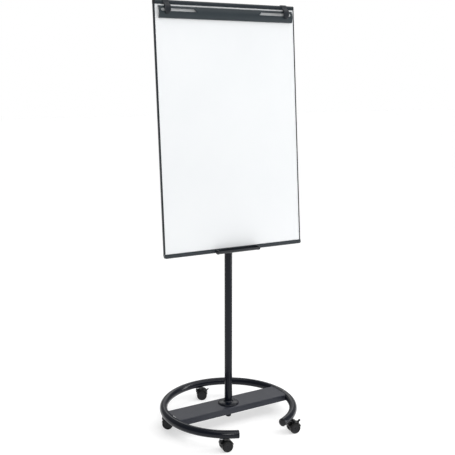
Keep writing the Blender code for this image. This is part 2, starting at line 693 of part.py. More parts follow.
def make_top_rail():
    """A hollow profile with a groove below for the panels, and a cap on each end."""
    low = BOARD_HEIGHT - RAIL_HEIGHT
    floor = low + PANEL_GRIP + GAP
    half = RAIL_DEPTH / 2
    section = [(RAIL_CENTRE_BACK + u, RAIL_CENTRE_UP + v) for u, v in rail_section()]
    section = section[:1] + [(GROOVE_FRONT, low), (GROOVE_FRONT, floor), (GROOVE_BACK, floor),
                             (GROOVE_BACK, low)] + section[1:]
    hollow = rounded_box(RAIL_CENTRE_BACK - half + RAIL_WALL, floor + RAIL_WALL,
                         RAIL_CENTRE_BACK + half - RAIL_WALL, BOARD_HEIGHT - RAIL_WALL, 0.0035, 2,
                         corners=(0, 0, 1, 1))
    length = BOARD_WIDTH - 2 * (RAIL_CAP + GAP)
    smooth(outline("top_rail", [section, hollow], length, CHARCOAL, axis="X", **on_board()))
    for name, side in (("rail_cap_left", -1), ("rail_cap_right", 1)):
        cap = outline(name, [rail_section()], RAIL_CAP, PLASTIC, axis="X",
                      **on_board(side * (HALF - RAIL_CAP / 2), RAIL_CENTRE_BACK, RAIL_CENTRE_UP))
        trim = block("panel_clear", (0.1, GROOVE_BACK - GROOVE_FRONT, 0.1), group=CUTTERS,
                     **on_board(side * (HALF - 0.05 - SIDE_LIP + PANEL_GRIP + GAP),
                                (GROOVE_FRONT + GROOVE_BACK) / 2, floor - 0.05))
        cut(cap, trim)
        edge = cap.modifiers.new("edge", "BEVEL")
        edge.width = 0.0018
        edge.segments = 2
        edge.limit_method = "ANGLE"
        edge.angle_limit = math.radians(60)
        smooth(cap)


def make_back():
    """The hat-shaped spine on the back and the U bracket that takes the pivot bolt."""
    skin = BOARD_DEPTH + GAP
    half = SPINE_WIDTH / 2
    web = SPINE_WEB / 2
    top = skin + SPINE_DEPTH
    wall = SPINE_WALL
    loop = [(-half, skin), (-web + wall, skin), (-web + wall, top - wall), (web - wall, top - wall),
            (web - wall, skin), (half, skin), (half, skin + wall), (web, skin + wall), (web, top),
            (-web, top), (-web, skin + wall), (-half, skin + wall)]
    length = SPINE_TOP - SPINE_BOTTOM
    outline("back_spine", [loop], length, POWDER, axis="Z", **on_board(0.0, 0.0, SPINE_BOTTOM + length / 2))
    seat = top + GAP
    bracket = block("board_bracket", (BRACKET_WIDTH, BRACKET_WALL, BRACKET_HEIGHT), coat=POWDER,
                    **on_board(0.0, seat + BRACKET_WALL / 2, PIVOT_UP))
    ear_radius = 0.014
    ear = [(seat + BRACKET_WALL / 2, -0.024), (PIVOT_BACK, -ear_radius)]
    ear += arc(ear_radius, -70, 70, 8, (PIVOT_BACK, 0.0))
    ear += [(PIVOT_BACK, ear_radius), (seat + BRACKET_WALL / 2, 0.024)]
    ears = []
    for side in (-1, 1):
        across = side * (HEAD_WIDTH / 2 + HEAD_PLAY + EAR_WALL / 2)
        ears.append(outline("ear", [ear], EAR_WALL, axis="X", **on_board(across, 0.0, PIVOT_UP)))
    join(bracket, *ears)
    hole = rod("bolt_hole", PIVOT_BOLT + RUN, -0.03, 0.03, axis="X", group=CUTTERS, parent=BOARD)
    cut(bracket, hole)
    smooth(bracket)
    make_tilt_fixing()


def make_tilt_fixing():
    """The pivot bolt through both ears, and its star knob on the right."""
    outside = EAR_OUTSIDE + GAP
    bolt = rod("tilt_bolt", PIVOT_BOLT, -outside - 0.001, outside + 0.014, STEEL, axis="X", parent=BOARD)
    head = rod("bolt_head", 0.0075, -outside - 0.0055, -outside, steps=6, axis="X", parent=BOARD)
    smooth(join(bolt, head))
    make_knob("tilt_knob", BOARD, (outside, 0.0, 0.0), (0.0, math.pi / 2, 0.0), PIVOT_BOLT, 0.0)


# ---------------------------------------------------------------- clamp bar and hooks
CLAMP = empty("clamp_swing", BOARD, board_place(0.0, RAIL_CENTRE_BACK, RAIL_CENTRE_UP))


def swell_arc(edge, belly, low, high, steps):
    """A shallow arc through (edge, low), (belly, middle) and (edge, high), from low to high."""
    half = (high - low) / 2
    rise = edge - belly
    radius = (half * half + rise * rise) / (2 * rise)
    centre = (belly + radius, (low + high) / 2)
    spread = math.degrees(math.asin(half / radius))
    return arc(radius, 180 + spread, 180 - spread, steps, centre)


def make_clamp_bar():
    """An arched bar with a flange along each edge, cut by a slot near each end."""
    top = RAIL_HEIGHT / 2 - BAR_TOP_DROP
    low = top - BAR_HEIGHT
    shift = -RAIL_CENTRE_BACK
    back = shift - 0.0014
    outer = swell_arc(shift - BAR_EDGE, shift - BAR_BELLY, low, top, 8)
    inner = swell_arc(shift - BAR_EDGE + BAR_WALL, shift - BAR_BELLY + BAR_WALL, low + BAR_WALL,
                      top - BAR_WALL, 8)
    foot = back - STRIP_THICKNESS - GAP
    loop = outer + [(back, top), (back, top - BAR_WALL)] + inner[::-1] + [(foot, low + BAR_WALL), (foot, low)]
    bar = outline("clamp_bar", [loop], BAR_LENGTH, CHARCOAL, axis="X", parent=CLAMP)
    slot_up = RAIL_HEIGHT / 2 - SLOT_DROP
    for side in (-1, 1):
        high = slot_up + SLOT_HEIGHT / 2
        deep = slot_up - SLOT_HEIGHT / 2
        end = 0.005
        shape = [(SLOT_INNER - SLOT_SLANT, deep), (SLOT_OUTER - end, deep)]
        shape += arc(end, 270, 360, 3, (SLOT_OUTER - end, deep + end))[1:]
        shape += arc(end, 0, 90, 3, (SLOT_OUTER - end, high - end)) + [(SLOT_INNER + SLOT_SLANT, high)]
        shape = [(side * u, v) for u, v in shape]
        cut(bar, outline("slot", [shape], 0.08, parent=CLAMP, group=CUTTERS))
    smooth(bar)
    block("bar_strip", (BAR_LENGTH - 0.010, STRIP_THICKNESS, STRIP_HEIGHT),
          (0.0, back - STRIP_THICKNESS / 2, low + STRIP_HEIGHT / 2), RUBBER, parent=CLAMP)


def make_hook(name, side):
    """A saddle round the top rail, a neck, and a shield-shaped tongue with a pin behind it."""
    clear = math.hypot(RAIL_DEPTH / 2 - 0.006, RAIL_HEIGHT / 2 - 0.006) + 0.006 + 0.0005
    outer = clear + HOOK_WALL
    face = -(HOOK_FRONT + RAIL_CENTRE_BACK)
    rear = -(BAR_BELLY + RAIL_CENTRE_BACK) - 0.0014
    tip = RAIL_HEIGHT / 2 - HOOK_TIP_DROP
    saddle_out = arc(outer, 65, 172, 10)
    side_view = saddle_out + [(face + 0.0040, -0.0125), (face + 0.0008, -0.0175), (face, -0.0230),
                              (face + 0.0004, tip + 0.0120), (face + 0.0030, tip + 0.0030),
                              (rear - 0.0010, tip), (rear, tip + 0.0015), (rear, -0.0195)]
    side_view += [(rear + 0.0075, -0.0128)] + arc(clear, 214, 65, 12)
    hook = outline(name, [side_view], HOOK_WIDTH, PLASTIC, axis="X", parent=CLAMP,
                   place=(side * HOOK_PLACE, 0.0, 0.0))
    half = HOOK_WIDTH / 2
    front_view = [(-half, 0.02), (-half, -0.004), (-half + 0.002, -0.0085), (-half + 0.002, -0.0135),
                  (-half, -0.0180), (-half, -0.0280), (-half + 0.0035, -0.0380)]
    front_view += arc(0.0060, 205, 270, 3, (0.0, tip + 0.0060))
    front_view += [(-u, v) for u, v in front_view[::-1][1:]]
    shield = outline("shield", [front_view], 0.12, parent=CLAMP, place=(side * HOOK_PLACE, 0.0, 0.0))
    boolean(hook, "INTERSECT", [shield])
    slot_up = RAIL_HEIGHT / 2 - SLOT_DROP
    pin_end = -RAIL_CENTRE_BACK - 0.0012
    join(hook, rod("pin", HOOK_PIN, rear - 0.0015, pin_end, axis="Y", parent=CLAMP,
                   place=(side * HOOK_PLACE, 0.0, slot_up)))
    return smooth(hook, 35)


# ---------------------------------------------------------------- pen tray
def tray_line(grow):
    """The trough's line from its back top, under and up to its front lip."""
    reach = TRAY_REACH
    return [(-0.0050, 0.0165), (-0.0050, 0.0035), (-0.0085, -0.0005 - grow), (-0.022, -0.0030 - grow),
            (-0.033, -0.0010 - grow), (-reach + 0.0035, 0.0045), (-reach, 0.0115)]


def make_tray():
    """A trough along the lower rail, open at the top, and a cap at each end."""
    line = tray_line(0.0)
    wall = TRAY_WALL
    inner = [(line[0][0] - wall, line[0][1]), (line[1][0] - wall, line[1][1] + 0.0005),
             (line[2][0] - 0.0008, line[2][1] + wall), (line[3][0], line[3][1] + wall),
             (line[4][0] + 0.0008, line[4][1] + wall), (line[5][0] + 0.0018, line[5][1] + 0.0006),
             (line[6][0] + wall, line[6][1])]
    length = TRAY_LENGTH - 2 * (TRAY_CAP + GAP)
    smooth(outline("pen_tray", [line + inner[::-1]], length, CHARCOAL, axis="X", **on_board()))
    low = tray_line(0.0010)
    plate = [(low[0][0], 0.0175)] + low[1:] + [(low[6][0], low[6][1] + 0.001), (low[6][0] + 0.006, 0.0145)]
    for name, side in (("tray_cap_left", -1), ("tray_cap_right", 1)):
        smooth(outline(name, [plate], TRAY_CAP, PLASTIC, axis="X",
                       **on_board(side * (TRAY_LENGTH / 2 - TRAY_CAP / 2), 0.0, 0.0)))


# ---------------------------------------------------------------- assembly
make_ring()
make_ring_cap("ring_cap_right", RING_HALF_GAP, 1)
make_ring_cap("ring_cap_left", -RING_HALF_GAP, -1)
make_channel()
make_pole_foot()
for castor, castor_angle, castor_heading in zip(CASTOR_NAMES, CASTOR_ANGLES, CASTOR_HEADINGS):
    make_castor(castor, castor_angle, castor_heading)
make_pole()
make_panels()
make_side("frame_left", -1)
make_side("frame_right", 1)
make_bottom_rail()
make_top_rail()
make_back()
make_clamp_bar()
make_hook("hook_left", -1)
make_hook("hook_right", 1)
make_tray()


def centre_on_origin():
    """Move the model along Y so that its box is centred on the origin."""
    bpy.context.view_layer.update()
    depsgraph = bpy.context.evaluated_depsgraph_get()
    reach = []
    for made in EASEL.objects:
        if made.type == "MESH":
            seen = made.evaluated_get(depsgraph)
            reach += [(made.matrix_world @ vertex.co).y for vertex in seen.data.vertices]
    MODEL.location.y = -(min(reach) + max(reach)) / 2


centre_on_origin()
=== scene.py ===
# %% [markdown]
# # A mobile flipchart easel
# The easel is a white lacquered board on a telescoping pole. The pole stands on an open ring
# of bent tube with five twin-wheel castors. The solids that move and carry load are already
# made and are loaded as a fixed frame. This lesson gives each visible part its finished
# surface and its finish, and then lights it. Every surface is worked out with numpy as whole
# arrays, and every finish is a small graph of shader nodes.

# %% Load the frame
import json
import math

import bmesh
import bpy
import numpy as np
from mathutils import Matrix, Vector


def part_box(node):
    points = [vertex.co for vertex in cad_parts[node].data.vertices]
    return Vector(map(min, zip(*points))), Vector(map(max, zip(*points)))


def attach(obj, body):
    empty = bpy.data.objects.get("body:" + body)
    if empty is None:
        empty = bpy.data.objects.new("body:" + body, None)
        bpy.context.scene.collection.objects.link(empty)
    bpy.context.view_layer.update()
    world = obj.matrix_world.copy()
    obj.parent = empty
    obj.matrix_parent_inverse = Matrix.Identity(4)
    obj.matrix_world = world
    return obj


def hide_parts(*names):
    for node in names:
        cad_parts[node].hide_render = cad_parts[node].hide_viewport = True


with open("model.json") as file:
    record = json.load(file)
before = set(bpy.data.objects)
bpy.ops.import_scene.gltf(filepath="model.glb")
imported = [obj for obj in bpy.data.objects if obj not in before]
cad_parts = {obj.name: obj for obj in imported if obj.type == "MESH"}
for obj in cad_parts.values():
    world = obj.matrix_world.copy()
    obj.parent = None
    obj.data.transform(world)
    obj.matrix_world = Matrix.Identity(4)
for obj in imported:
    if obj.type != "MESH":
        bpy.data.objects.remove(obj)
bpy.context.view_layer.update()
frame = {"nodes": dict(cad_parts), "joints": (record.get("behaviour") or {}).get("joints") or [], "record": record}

# %% [markdown]
# ## Where things are
# A surface that leans or turns is easiest to draw in its own frame. The board has one, with
# distances across, out of its front and up from its lower edge. So does each castor, with
# distances along its trail, across its wheels and up from the floor. Both frames are read
# from the solids' boxes and the joints, so nothing has to be fitted by eye.

# %% The joints and boxes, as numbers
JOINTS = {joint["name"]: joint for joint in frame["joints"]}


def joint_place(name):
    return np.array(JOINTS[name]["pos_m"], float)


def box(node):
    low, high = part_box(node)
    return np.array(low), np.array(high)


pole_low, pole_high = box("pole_outer")
POLE_AXIS = (pole_low + pole_high) / 2
POLE_AXIS[2] = 0.0
CLEAR = 0.0002              # the gap left between parts that fit over each other
print("pole axis at", POLE_AXIS.round(4))

# %% The board's own frame
SHEET = 0.0006              # the writing sheet's thickness
SHEET_FRONT = 0.0013        # its front, behind the front of the edge profiles
SHEET_START = 0.0148        # its lower edge, above the board's lower edge
sheet_low, sheet_high = box("writing_panel")
sheet_size = sheet_high - sheet_low
LEAN = math.atan2(sheet_size[1] - SHEET, sheet_size[2])
ACROSS = np.array([1.0, 0.0, 0.0])
OUT = np.array([0.0, -math.cos(LEAN), math.sin(LEAN)])
UP = np.array([0.0, math.sin(LEAN), math.cos(LEAN)])
corner = np.array([0.0, sheet_low[1], sheet_low[2] + SHEET * math.sin(LEAN)])
BOARD_FOOT = corner + SHEET_FRONT * OUT - SHEET_START * UP
BOARD_HEIGHT = sheet_size[2] / math.cos(LEAN) + 2 * SHEET_START
BOARD_HALF = box("rail_cap_right")[1][0]


def on_board(across, out, up):
    """Board to world: the foot, plus each distance times the board's own direction."""
    across, out, up = np.broadcast_arrays(across, out, up)
    place = np.stack([across, out, up], -1)
    return BOARD_FOOT + place @ np.stack([ACROSS, OUT, UP])


print("board leans", round(math.degrees(LEAN), 2), "degrees")
print("board is", round(BOARD_HEIGHT, 4), "m high")

# %% A castor's own frame
CASTORS = ("front_left", "front_right", "side_left", "side_right", "back")
WHEEL_RADIUS = 0.025


class CastorFrame:
    """Trail, across and up, from the swivel joint and the wheel's axle."""

    def __init__(self, name):
        swivel = joint_place(f"castor_{name}_swivel")
        axle = joint_place(f"castor_{name}_wheel_left_spin")
        along = axle - swivel
        along[2] = 0.0
        self.trail = float(np.linalg.norm(along))
        self.along = along / self.trail
        self.across = np.array([-self.along[1], self.along[0], 0.0])
        self.foot = np.array([swivel[0], swivel[1], 0.0])

    def place(self, along, across, up):
        """Castor to world: the foot, plus each distance times the castor's own direction."""
        along, across, up = np.broadcast_arrays(along, across, up)
        axes = np.stack([self.along, self.across, [0.0, 0.0, 1.0]])
        return self.foot + np.stack([along, across, up], -1) @ axes


CASTOR_FRAMES = {name: CastorFrame(name) for name in CASTORS}
print("castor trail", round(CASTOR_FRAMES["back"].trail, 4), "m")

# %% [markdown]
# ## Tools for surfaces
# A grid of points is all a smooth surface needs: rows run along the part, columns run round
# it. A face joins four neighbours. Where the last column meets the first, the grid wraps, and
# where a row shrinks to a point, its doubles are merged into a clean pole.

# %% Grids and meshes
def grid_faces(rows, columns, wrap_rows, wrap_columns, first=0):
    """Four corners for each cell: (i, j), (i, j+1), (i+1, j+1), (i+1, j), wrapped where asked."""
    i = np.arange(rows if wrap_rows else rows - 1)[:, None]
    j = np.arange(columns if wrap_columns else columns - 1)[None, :]
    next_i, next_j = (i + 1) % rows, (j + 1) % columns
    corners = [i * columns + j, i * columns + next_j,
               next_i * columns + next_j, next_i * columns + j]
    return first + np.stack(np.broadcast_arrays(*corners), -1).reshape(-1, 4)


print("faces of a closed 4 x 6 grid:", len(grid_faces(4, 6, False, True)))


# %% A shell made of grids
class Shell:
    """Collects grids of points, which become one mesh."""

    def __init__(self):
        self.points, self.faces, self.count = [], [], 0

    def add(self, grid, wrap_rows=False, wrap_columns=True, ends=False):
        """Adds a grid's points and faces; ends closes its first and last row with one face."""
        rows, columns = grid.shape[:2]
        faces = grid_faces(rows, columns, wrap_rows, wrap_columns, self.count)
        self.faces += faces.tolist()
        if ends:
            self.faces.append((self.count + np.arange(columns)[::-1]).tolist())
            self.faces.append((self.count + (rows - 1) * columns + np.arange(columns)).tolist())
        self.points.append(grid.reshape(-1, 3))
        self.count += rows * columns
        return self

    def piece(self, name, angle=35):
        """One mesh object with its doubles merged, its faces turned outwards and smooth shading."""
        name = name.replace(" ", "_")
        mesh = bpy.data.meshes.new(name)
        mesh.from_pydata(np.concatenate(self.points), [], self.faces)
        clean(mesh)
        made = bpy.data.objects.new(name, mesh)
        bpy.context.scene.collection.objects.link(made)
        return shade(made, angle)


# %% Cleaning, shading and eased edges
def clean(mesh, merge=0.000002):
    """Merge doubles, drop faces with no area and turn the rest outwards."""
    shape = bmesh.new()
    shape.from_mesh(mesh)
    bmesh.ops.remove_doubles(shape, verts=shape.verts, dist=merge)
    bmesh.ops.dissolve_degenerate(shape, edges=shape.edges, dist=merge)
    bmesh.ops.recalc_face_normals(shape, faces=shape.faces)
    shape.to_mesh(mesh)
    shape.free()


def shade(made, angle):
    """Smooth shading, but sharp across edges that bend more than the angle."""
    made.data.shade_smooth()
    made.data.set_sharp_from_angle(angle=math.radians(angle))
    return made


def ease(made, width, segments=2, angle=40):
    """A small bevel on the edges that are sharper than the angle."""
    bevel = made.modifiers.new("eased edges", "BEVEL")
    bevel.width = width
    bevel.segments = segments
    bevel.limit_method = "ANGLE"
    bevel.angle_limit = math.radians(angle)
    bevel.harden_normals = True
    return made


# %% Lines: eased corners, smooth curves, arcs
def eased(points, radius, steps=4, closed=False):
    """Each corner P becomes the quadratic curve (1-t)^2 A + 2t(1-t) P + t^2 B.

    A and B lie on its two sides, the radius away or at most 0.45 of the side.
    """
    points = np.asarray(points, float)
    before, after = np.roll(points, 1, 0) - points, np.roll(points, -1, 0) - points
    reach_before = np.linalg.norm(before, axis=1, keepdims=True)
    reach_after = np.linalg.norm(after, axis=1, keepdims=True)
    start = points + before / reach_before * np.minimum(radius, 0.45 * reach_before)
    stop = points + after / reach_after * np.minimum(radius, 0.45 * reach_after)
    t = np.linspace(0.0, 1.0, steps + 1)[None, :, None]
    curve = ((1 - t) ** 2 * start[:, None] + 2 * t * (1 - t) * points[:, None]
             + t ** 2 * stop[:, None])
    if closed:
        return curve.reshape(-1, points.shape[1])
    middle = curve[1:-1].reshape(-1, points.shape[1])
    return np.concatenate([points[:1], middle, points[-1:]])


def smooth_line(points, count):
    """A Catmull-Rom curve: in each stretch the cubic that passes through both ends, with a
    slope of half the step between the neighbours."""
    points = np.asarray(points, float)
    ends = np.concatenate([[2 * points[0] - points[1]], points, [2 * points[-1] - points[-2]]])
    place = np.linspace(0.0, len(points) - 1.0, count)
    k = np.minimum(place.astype(int), len(points) - 2)
    t = (place - k)[:, None]
    a, b, c, d = ends[k], ends[k + 1], ends[k + 2], ends[k + 3]
    return 0.5 * (2 * b + (c - a) * t + (2 * a - 5 * b + 4 * c - d) * t ** 2
                  + (3 * b - a - 3 * c + d) * t ** 3)


def arc(radius, start, stop, steps, centre=(0.0, 0.0)):
    """Centre + radius * (cos a, sin a), a from start to stop in degrees."""
    angle = np.radians(np.linspace(start, stop, steps + 1))
    return centre + radius * np.stack([np.cos(angle), np.sin(angle)], -1)


# %% Surfaces: turned, drawn out straight, swept with a changing section
def turned(profile, centre, axis, steps=64):
    """Each profile point (radius, height) goes once round the axis:
    centre + height * axis + radius * (cos a * side + sin a * other side)."""
    axis = np.asarray(axis, float) / np.linalg.norm(axis)
    helper = np.array([0.0, 0.0, 1.0]) if abs(axis[2]) < 0.9 else np.array([1.0, 0.0, 0.0])
    side = np.cross(axis, helper)
    side /= np.linalg.norm(side)
    other = np.cross(axis, side)
    profile = np.asarray(profile, float)
    angle = np.linspace(0.0, 2 * np.pi, steps, endpoint=False)[None, :, None]
    radius, height = profile[:, 0, None, None], profile[:, 1, None, None]
    outward = np.cos(angle) * side + np.sin(angle) * other
    return np.asarray(centre) + height * axis + radius * outward


def drawn(section, half_length, place, rounding=0.0, steps=6):
    """A section (out, up) drawn along `across`, from minus to plus its half length.

    Where t runs from 0 to 1 over the last r of each end, the section is drawn in by
    r * (1 - sqrt(1 - t^2)) all round, so that the end is eased like a quarter of a circle.
    The half length may be one number, or one for each point of the section.
    """
    section = np.asarray(section, float)
    half_length = np.broadcast_to(half_length, len(section))
    half_size = np.ptp(section, 0) / 2
    middle = section.min(0) + half_size
    t = np.sin(np.linspace(0.0, np.pi / 2, steps + 1)) if rounding else np.ones(1)
    drop = rounding * (1 - np.sqrt(np.maximum(1 - t ** 2, 0.0)))
    across = half_length - rounding * (1 - t)[:, None]
    scale = 1 - drop[:, None] / half_size
    across = np.concatenate([-across[::-1], across])
    scale = np.concatenate([scale[::-1], scale])
    points = middle + scale[:, None, :] * (section - middle)
    return place(across, points[..., 0], points[..., 1])


# %% A strap with a rounded section
def rounded_section(columns, power):
    """A superellipse: cos and sin, each raised to 2/power with its sign kept."""
    angle = np.linspace(0.0, 2 * np.pi, columns, endpoint=False)
    bend = 2.0 / power
    return (np.sign(np.cos(angle)) * np.abs(np.cos(angle)) ** bend,
            np.sign(np.sin(angle)) * np.abs(np.sin(angle)) ** bend)


def strap(line, half_width, half_thickness, place, middle=0.0, columns=40, power=4.0):
    """A strap that follows a line (out, up): its section is a superellipse whose half width
    runs across and whose half thickness runs along the line's own normal."""
    slope = np.gradient(line, axis=0)
    slope /= np.linalg.norm(slope, axis=1, keepdims=True)
    normal = np.stack([-slope[:, 1], slope[:, 0]], -1)
    wide, thick = rounded_section(columns, power)
    across = middle + half_width[:, None] * wide
    offset = half_thickness[:, None] * thick
    return place(across, line[:, None, 0] + offset * normal[:, None, 0],
                 line[:, None, 1] + offset * normal[:, None, 1])


print("surface tools ready")

# %% [markdown]
# ## Finishes
# A finish is a small graph of nodes. Written out one node at a time, it would hide the
# formula, so one class stands for a node's output and lets plain arithmetic build the maths
# nodes, and one method makes any other node from its type, settings and sockets.

# %% A socket that does arithmetic
class Signal:
    """A node's output. +, - and * each add one maths node to its graph."""

    def __init__(self, finish, output):
        self.finish, self.output = finish, output

    def maths(self, operation, first, second):
        sockets = {0: first, 1: second}
        return self.finish.node("ShaderNodeMath", {"operation": operation}, sockets)

    def __add__(self, other):
        return self.maths("ADD", self, other)

    def __radd__(self, other):
        return self.maths("ADD", other, self)

    def __sub__(self, other):
        return self.maths("SUBTRACT", self, other)

    def __rsub__(self, other):
        return self.maths("SUBTRACT", other, self)

    def __mul__(self, other):
        return self.maths("MULTIPLY", self, other)

    def __rmul__(self, other):
        return self.maths("MULTIPLY", other, self)


# %% A finish and its nodes
class Finish:
    """A material with its Principled shader, and object coordinates in metres."""

    def __init__(self, name, colour, roughness, **uniform):
        self.material = bpy.data.materials.new(name)
        self.material.use_nodes = True
        self.tree = self.material.node_tree
        self.shader = self.tree.nodes["Principled BSDF"]
        self.shader.inputs["Base Color"].default_value = (*colour, 1.0)
        self.shader.inputs["Roughness"].default_value = roughness
        for socket, value in uniform.items():
            self.shader.inputs[socket.replace("_", " ")].default_value = value
        self.material.diffuse_color = (*colour, 1.0)
        self.place = self.node("ShaderNodeTexCoord", {}, {}, "Object")

    def node(self, kind, settings, sockets, output=0):
        """Any node: its type, its settings, what its sockets take, and which output to give."""
        made = self.tree.nodes.new(kind)
        for setting, value in settings.items():
            setattr(made, setting, value)
        for socket, value in sockets.items():
            self.feed(made.inputs[socket], value)
        return Signal(self, made.outputs[output])

    def feed(self, socket, value):
        """Links a signal to a socket, or sets the socket to a plain value."""
        if isinstance(value, Signal):
            self.tree.links.new(value.output, socket)
        else:
            socket.default_value = value

    def give(self, socket, value):
        """What varies over the surface goes to one of the shader's sockets."""
        self.feed(self.shader.inputs[socket], value)

    def noise(self, cells_per_metre, detail=2.0, place=None):
        """Smooth noise round one half; more detail adds finer octaves."""
        sockets = {"Vector": place or self.place, "Scale": cells_per_metre, "Detail": detail}
        return self.node("ShaderNodeTexNoise", {}, sockets)

    def stretched(self, scale):
        """The place, scaled by a different amount along each axis, which makes streaks."""
        return self.node("ShaderNodeMapping", {}, {"Vector": self.place, "Scale": scale})

    def blend(self, share, first, second):
        """share 0 gives the first colour, 1 the second."""
        first, second = (value if isinstance(value, Signal) else (*value, 1.0)
                         for value in (first, second))
        sockets = {0: share, 6: first, 7: second}
        return self.node("ShaderNodeMix", {"data_type": "RGBA"}, sockets, 2)

    def between(self, value, low, high):
        """0 below low, 1 above high and a straight line between."""
        sockets = {"Value": value, "From Min": low, "From Max": high}
        return self.node("ShaderNodeMapRange", {"clamp": True}, sockets)

    def relief(self, height, strength, depth):
        """Bump: the height signal times the depth in metres tilts the surface's normal."""
        sockets = {"Height": height, "Strength": strength, "Distance": depth}
        self.give("Normal", self.node("ShaderNodeBump", {}, sockets))


def tint(colour, amount):
    """The colour, each channel times the amount."""
    return tuple(channel * amount for channel in colour)


# %% [markdown]
# ### Paint
# Powder coat is sprayed as dry grains and melted on. It flows almost level but keeps a
# soft waviness, a millimetre or two across, called orange peel. Lacquer on the aluminium
# profiles is thinner and smoother. Both are one recipe: a slight change of shade over
# centimetres, a change of gloss where it has been handled, and a fine relief.

# %% Paint: powder coat and lacquer
def paint(name, colour, roughness, peel, peel_cells, handling=0.06, **uniform):
    """Shade and gloss drift with two slow noises; the relief is a fast one."""
    coat = Finish(name, colour, roughness, **uniform)
    drift = coat.noise(7.0, 3.0)
    fine = coat.noise(160.0, 2.0)
    share = 0.7 * drift + 0.3 * fine
    coat.give("Base Color", coat.blend(share, tint(colour, 0.86), tint(colour, 1.14)))
    coat.give("Roughness", roughness - handling / 2 + handling * coat.noise(24.0, 4.0))
    coat.relief(coat.noise(peel_cells, 2.0), peel, 0.0004)
    return coat


black_powder = paint("black powder coat", (0.0034, 0.0048, 0.0092), 0.20, 0.02, 420.0,
                     Specular_IOR_Level=0.24)
grey_powder = paint("grey powder coat", (0.0150, 0.0172, 0.0265), 0.44, 0.06, 520.0, 0.08,
                    Specular_IOR_Level=0.42)
charcoal = paint("charcoal lacquer", (0.0085, 0.0118, 0.0160), 0.28, 0.03, 900.0,
                 Specular_IOR_Level=0.30)
# Painted light: the top and lower rails take this lighter copy of the charcoal lacquer that the side profiles
# keep, for fronts that catch the light.
lit_rail_lacquer = paint("rail lacquer painted lighter", (0.0170, 0.0225, 0.0275), 0.26, 0.03, 900.0,
                      Specular_IOR_Level=0.40)
clamp_charcoal = paint("clamp bar lacquer", (0.0230, 0.0305, 0.0355), 0.42, 0.03, 900.0,
                       Specular_IOR_Level=0.22)
print("paints:", black_powder.material.name, "and four more")

# %% [markdown]
# ### The writing sheet
# A dry-wipe sheet is steel with baked white enamel. It is very even and glossy, and years of
# wiping leave it with the faintest greyish clouds and hair-thin wiping marks.

# %% White enamel
def enamel():
    """Clouds are a slow noise; wiping marks are a noise drawn out along the wipe."""
    coat = Finish("white enamel", (0.80, 0.81, 0.82), 0.16)
    clouds = coat.between(coat.noise(5.0, 4.0), 0.35, 0.75)
    marks = coat.noise(1.0, 3.0, coat.stretched((14.0, 14.0, 480.0)))
    coat.give("Base Color", coat.blend(clouds, (0.700, 0.714, 0.724), (0.684, 0.699, 0.711)))
    coat.give("Roughness", 0.12 + 0.05 * marks + 0.05 * clouds)
    coat.relief(marks, 0.02, 0.0001)
    return coat


white_enamel = enamel()
print("enamel:", len(white_enamel.tree.nodes), "nodes")

# %% [markdown]
# ### Plastics
# Moulded parts carry the spark-eroded grain of their mould: small pits, half a millimetre
# across or less. The castors' wheels are a smoother, harder plastic, whose discs are a little
# greyer than their treads, because treads polish dark on the floor.

# %% Moulded plastic
def grained(name, colour, roughness, pits, pit_cells=1500.0, **uniform):
    """The mould's relief: pits are a cell pattern's distance, plus 0.4 of a noise."""
    plastic = Finish(name, colour, roughness, **uniform)
    cells = plastic.node("ShaderNodeTexVoronoi", {"feature": "SMOOTH_F1"},
                         {"Vector": plastic.place, "Scale": pit_cells}, "Distance")
    plastic.relief(cells + 0.4 * plastic.noise(700.0), pits, 0.00018)
    return plastic


def moulded(name, colour, roughness, pits=0.22, **uniform):
    """Grained plastic whose shade drifts with a slow noise and its gloss with a faster one."""
    plastic = grained(name, colour, roughness, pits, **uniform)
    drift = plastic.noise(30.0, 3.0)
    plastic.give("Base Color", plastic.blend(drift, tint(colour, 0.88), tint(colour, 1.12)))
    plastic.give("Roughness", roughness - 0.04 + 0.08 * plastic.noise(90.0, 2.0))
    return plastic


grey_plastic = moulded("grey moulded plastic", (0.0090, 0.0115, 0.0155), 0.40,
                       Specular_IOR_Level=0.30)
black_plastic = moulded("black moulded plastic", (0.0060, 0.0068, 0.0085), 0.40,
                        Specular_IOR_Level=0.30)
castor_plastic = moulded("castor hood plastic", (0.0035, 0.0037, 0.0045), 0.36, 0.12,
                         Specular_IOR_Level=0.28)
print("plastics:", len(grey_plastic.tree.nodes), "nodes each")


# %% Wheel plastic
def wheel_finish():
    """The mesh's own `disc` attribute, 1 on the flat of the wheel, chooses between two shades."""
    plastic = grained("castor wheel plastic", (0.004, 0.0042, 0.005), 0.38, 0.08,
                      Specular_IOR_Level=0.28)
    disc = plastic.node("ShaderNodeAttribute", {"attribute_name": "disc"}, {}, "Fac")
    scuff = plastic.between(plastic.noise(260.0, 4.0), 0.45, 0.70)
    tread = plastic.blend(scuff, (0.0032, 0.0033, 0.0038), (0.0065, 0.0065, 0.0066))
    plastic.give("Base Color", plastic.blend(disc, tread, (0.0085, 0.0088, 0.0105)))
    plastic.give("Roughness", 0.36 + 0.10 * scuff + 0.06 * disc)
    return plastic


wheel_plastic = wheel_finish()
print("wheel plastic:", len(wheel_plastic.tree.nodes), "nodes")

# %% [markdown]
# ### Bare steel, rubber and the board's backing
# Zinc plate on bolts is bright and slightly cloudy, with the lathe's fine rings left under
# it. The rubber strip is matt. The backing is a thin galvanised sheet, whose crystals,
# called spangle, are centimetre-sized patches that differ a little in shade.

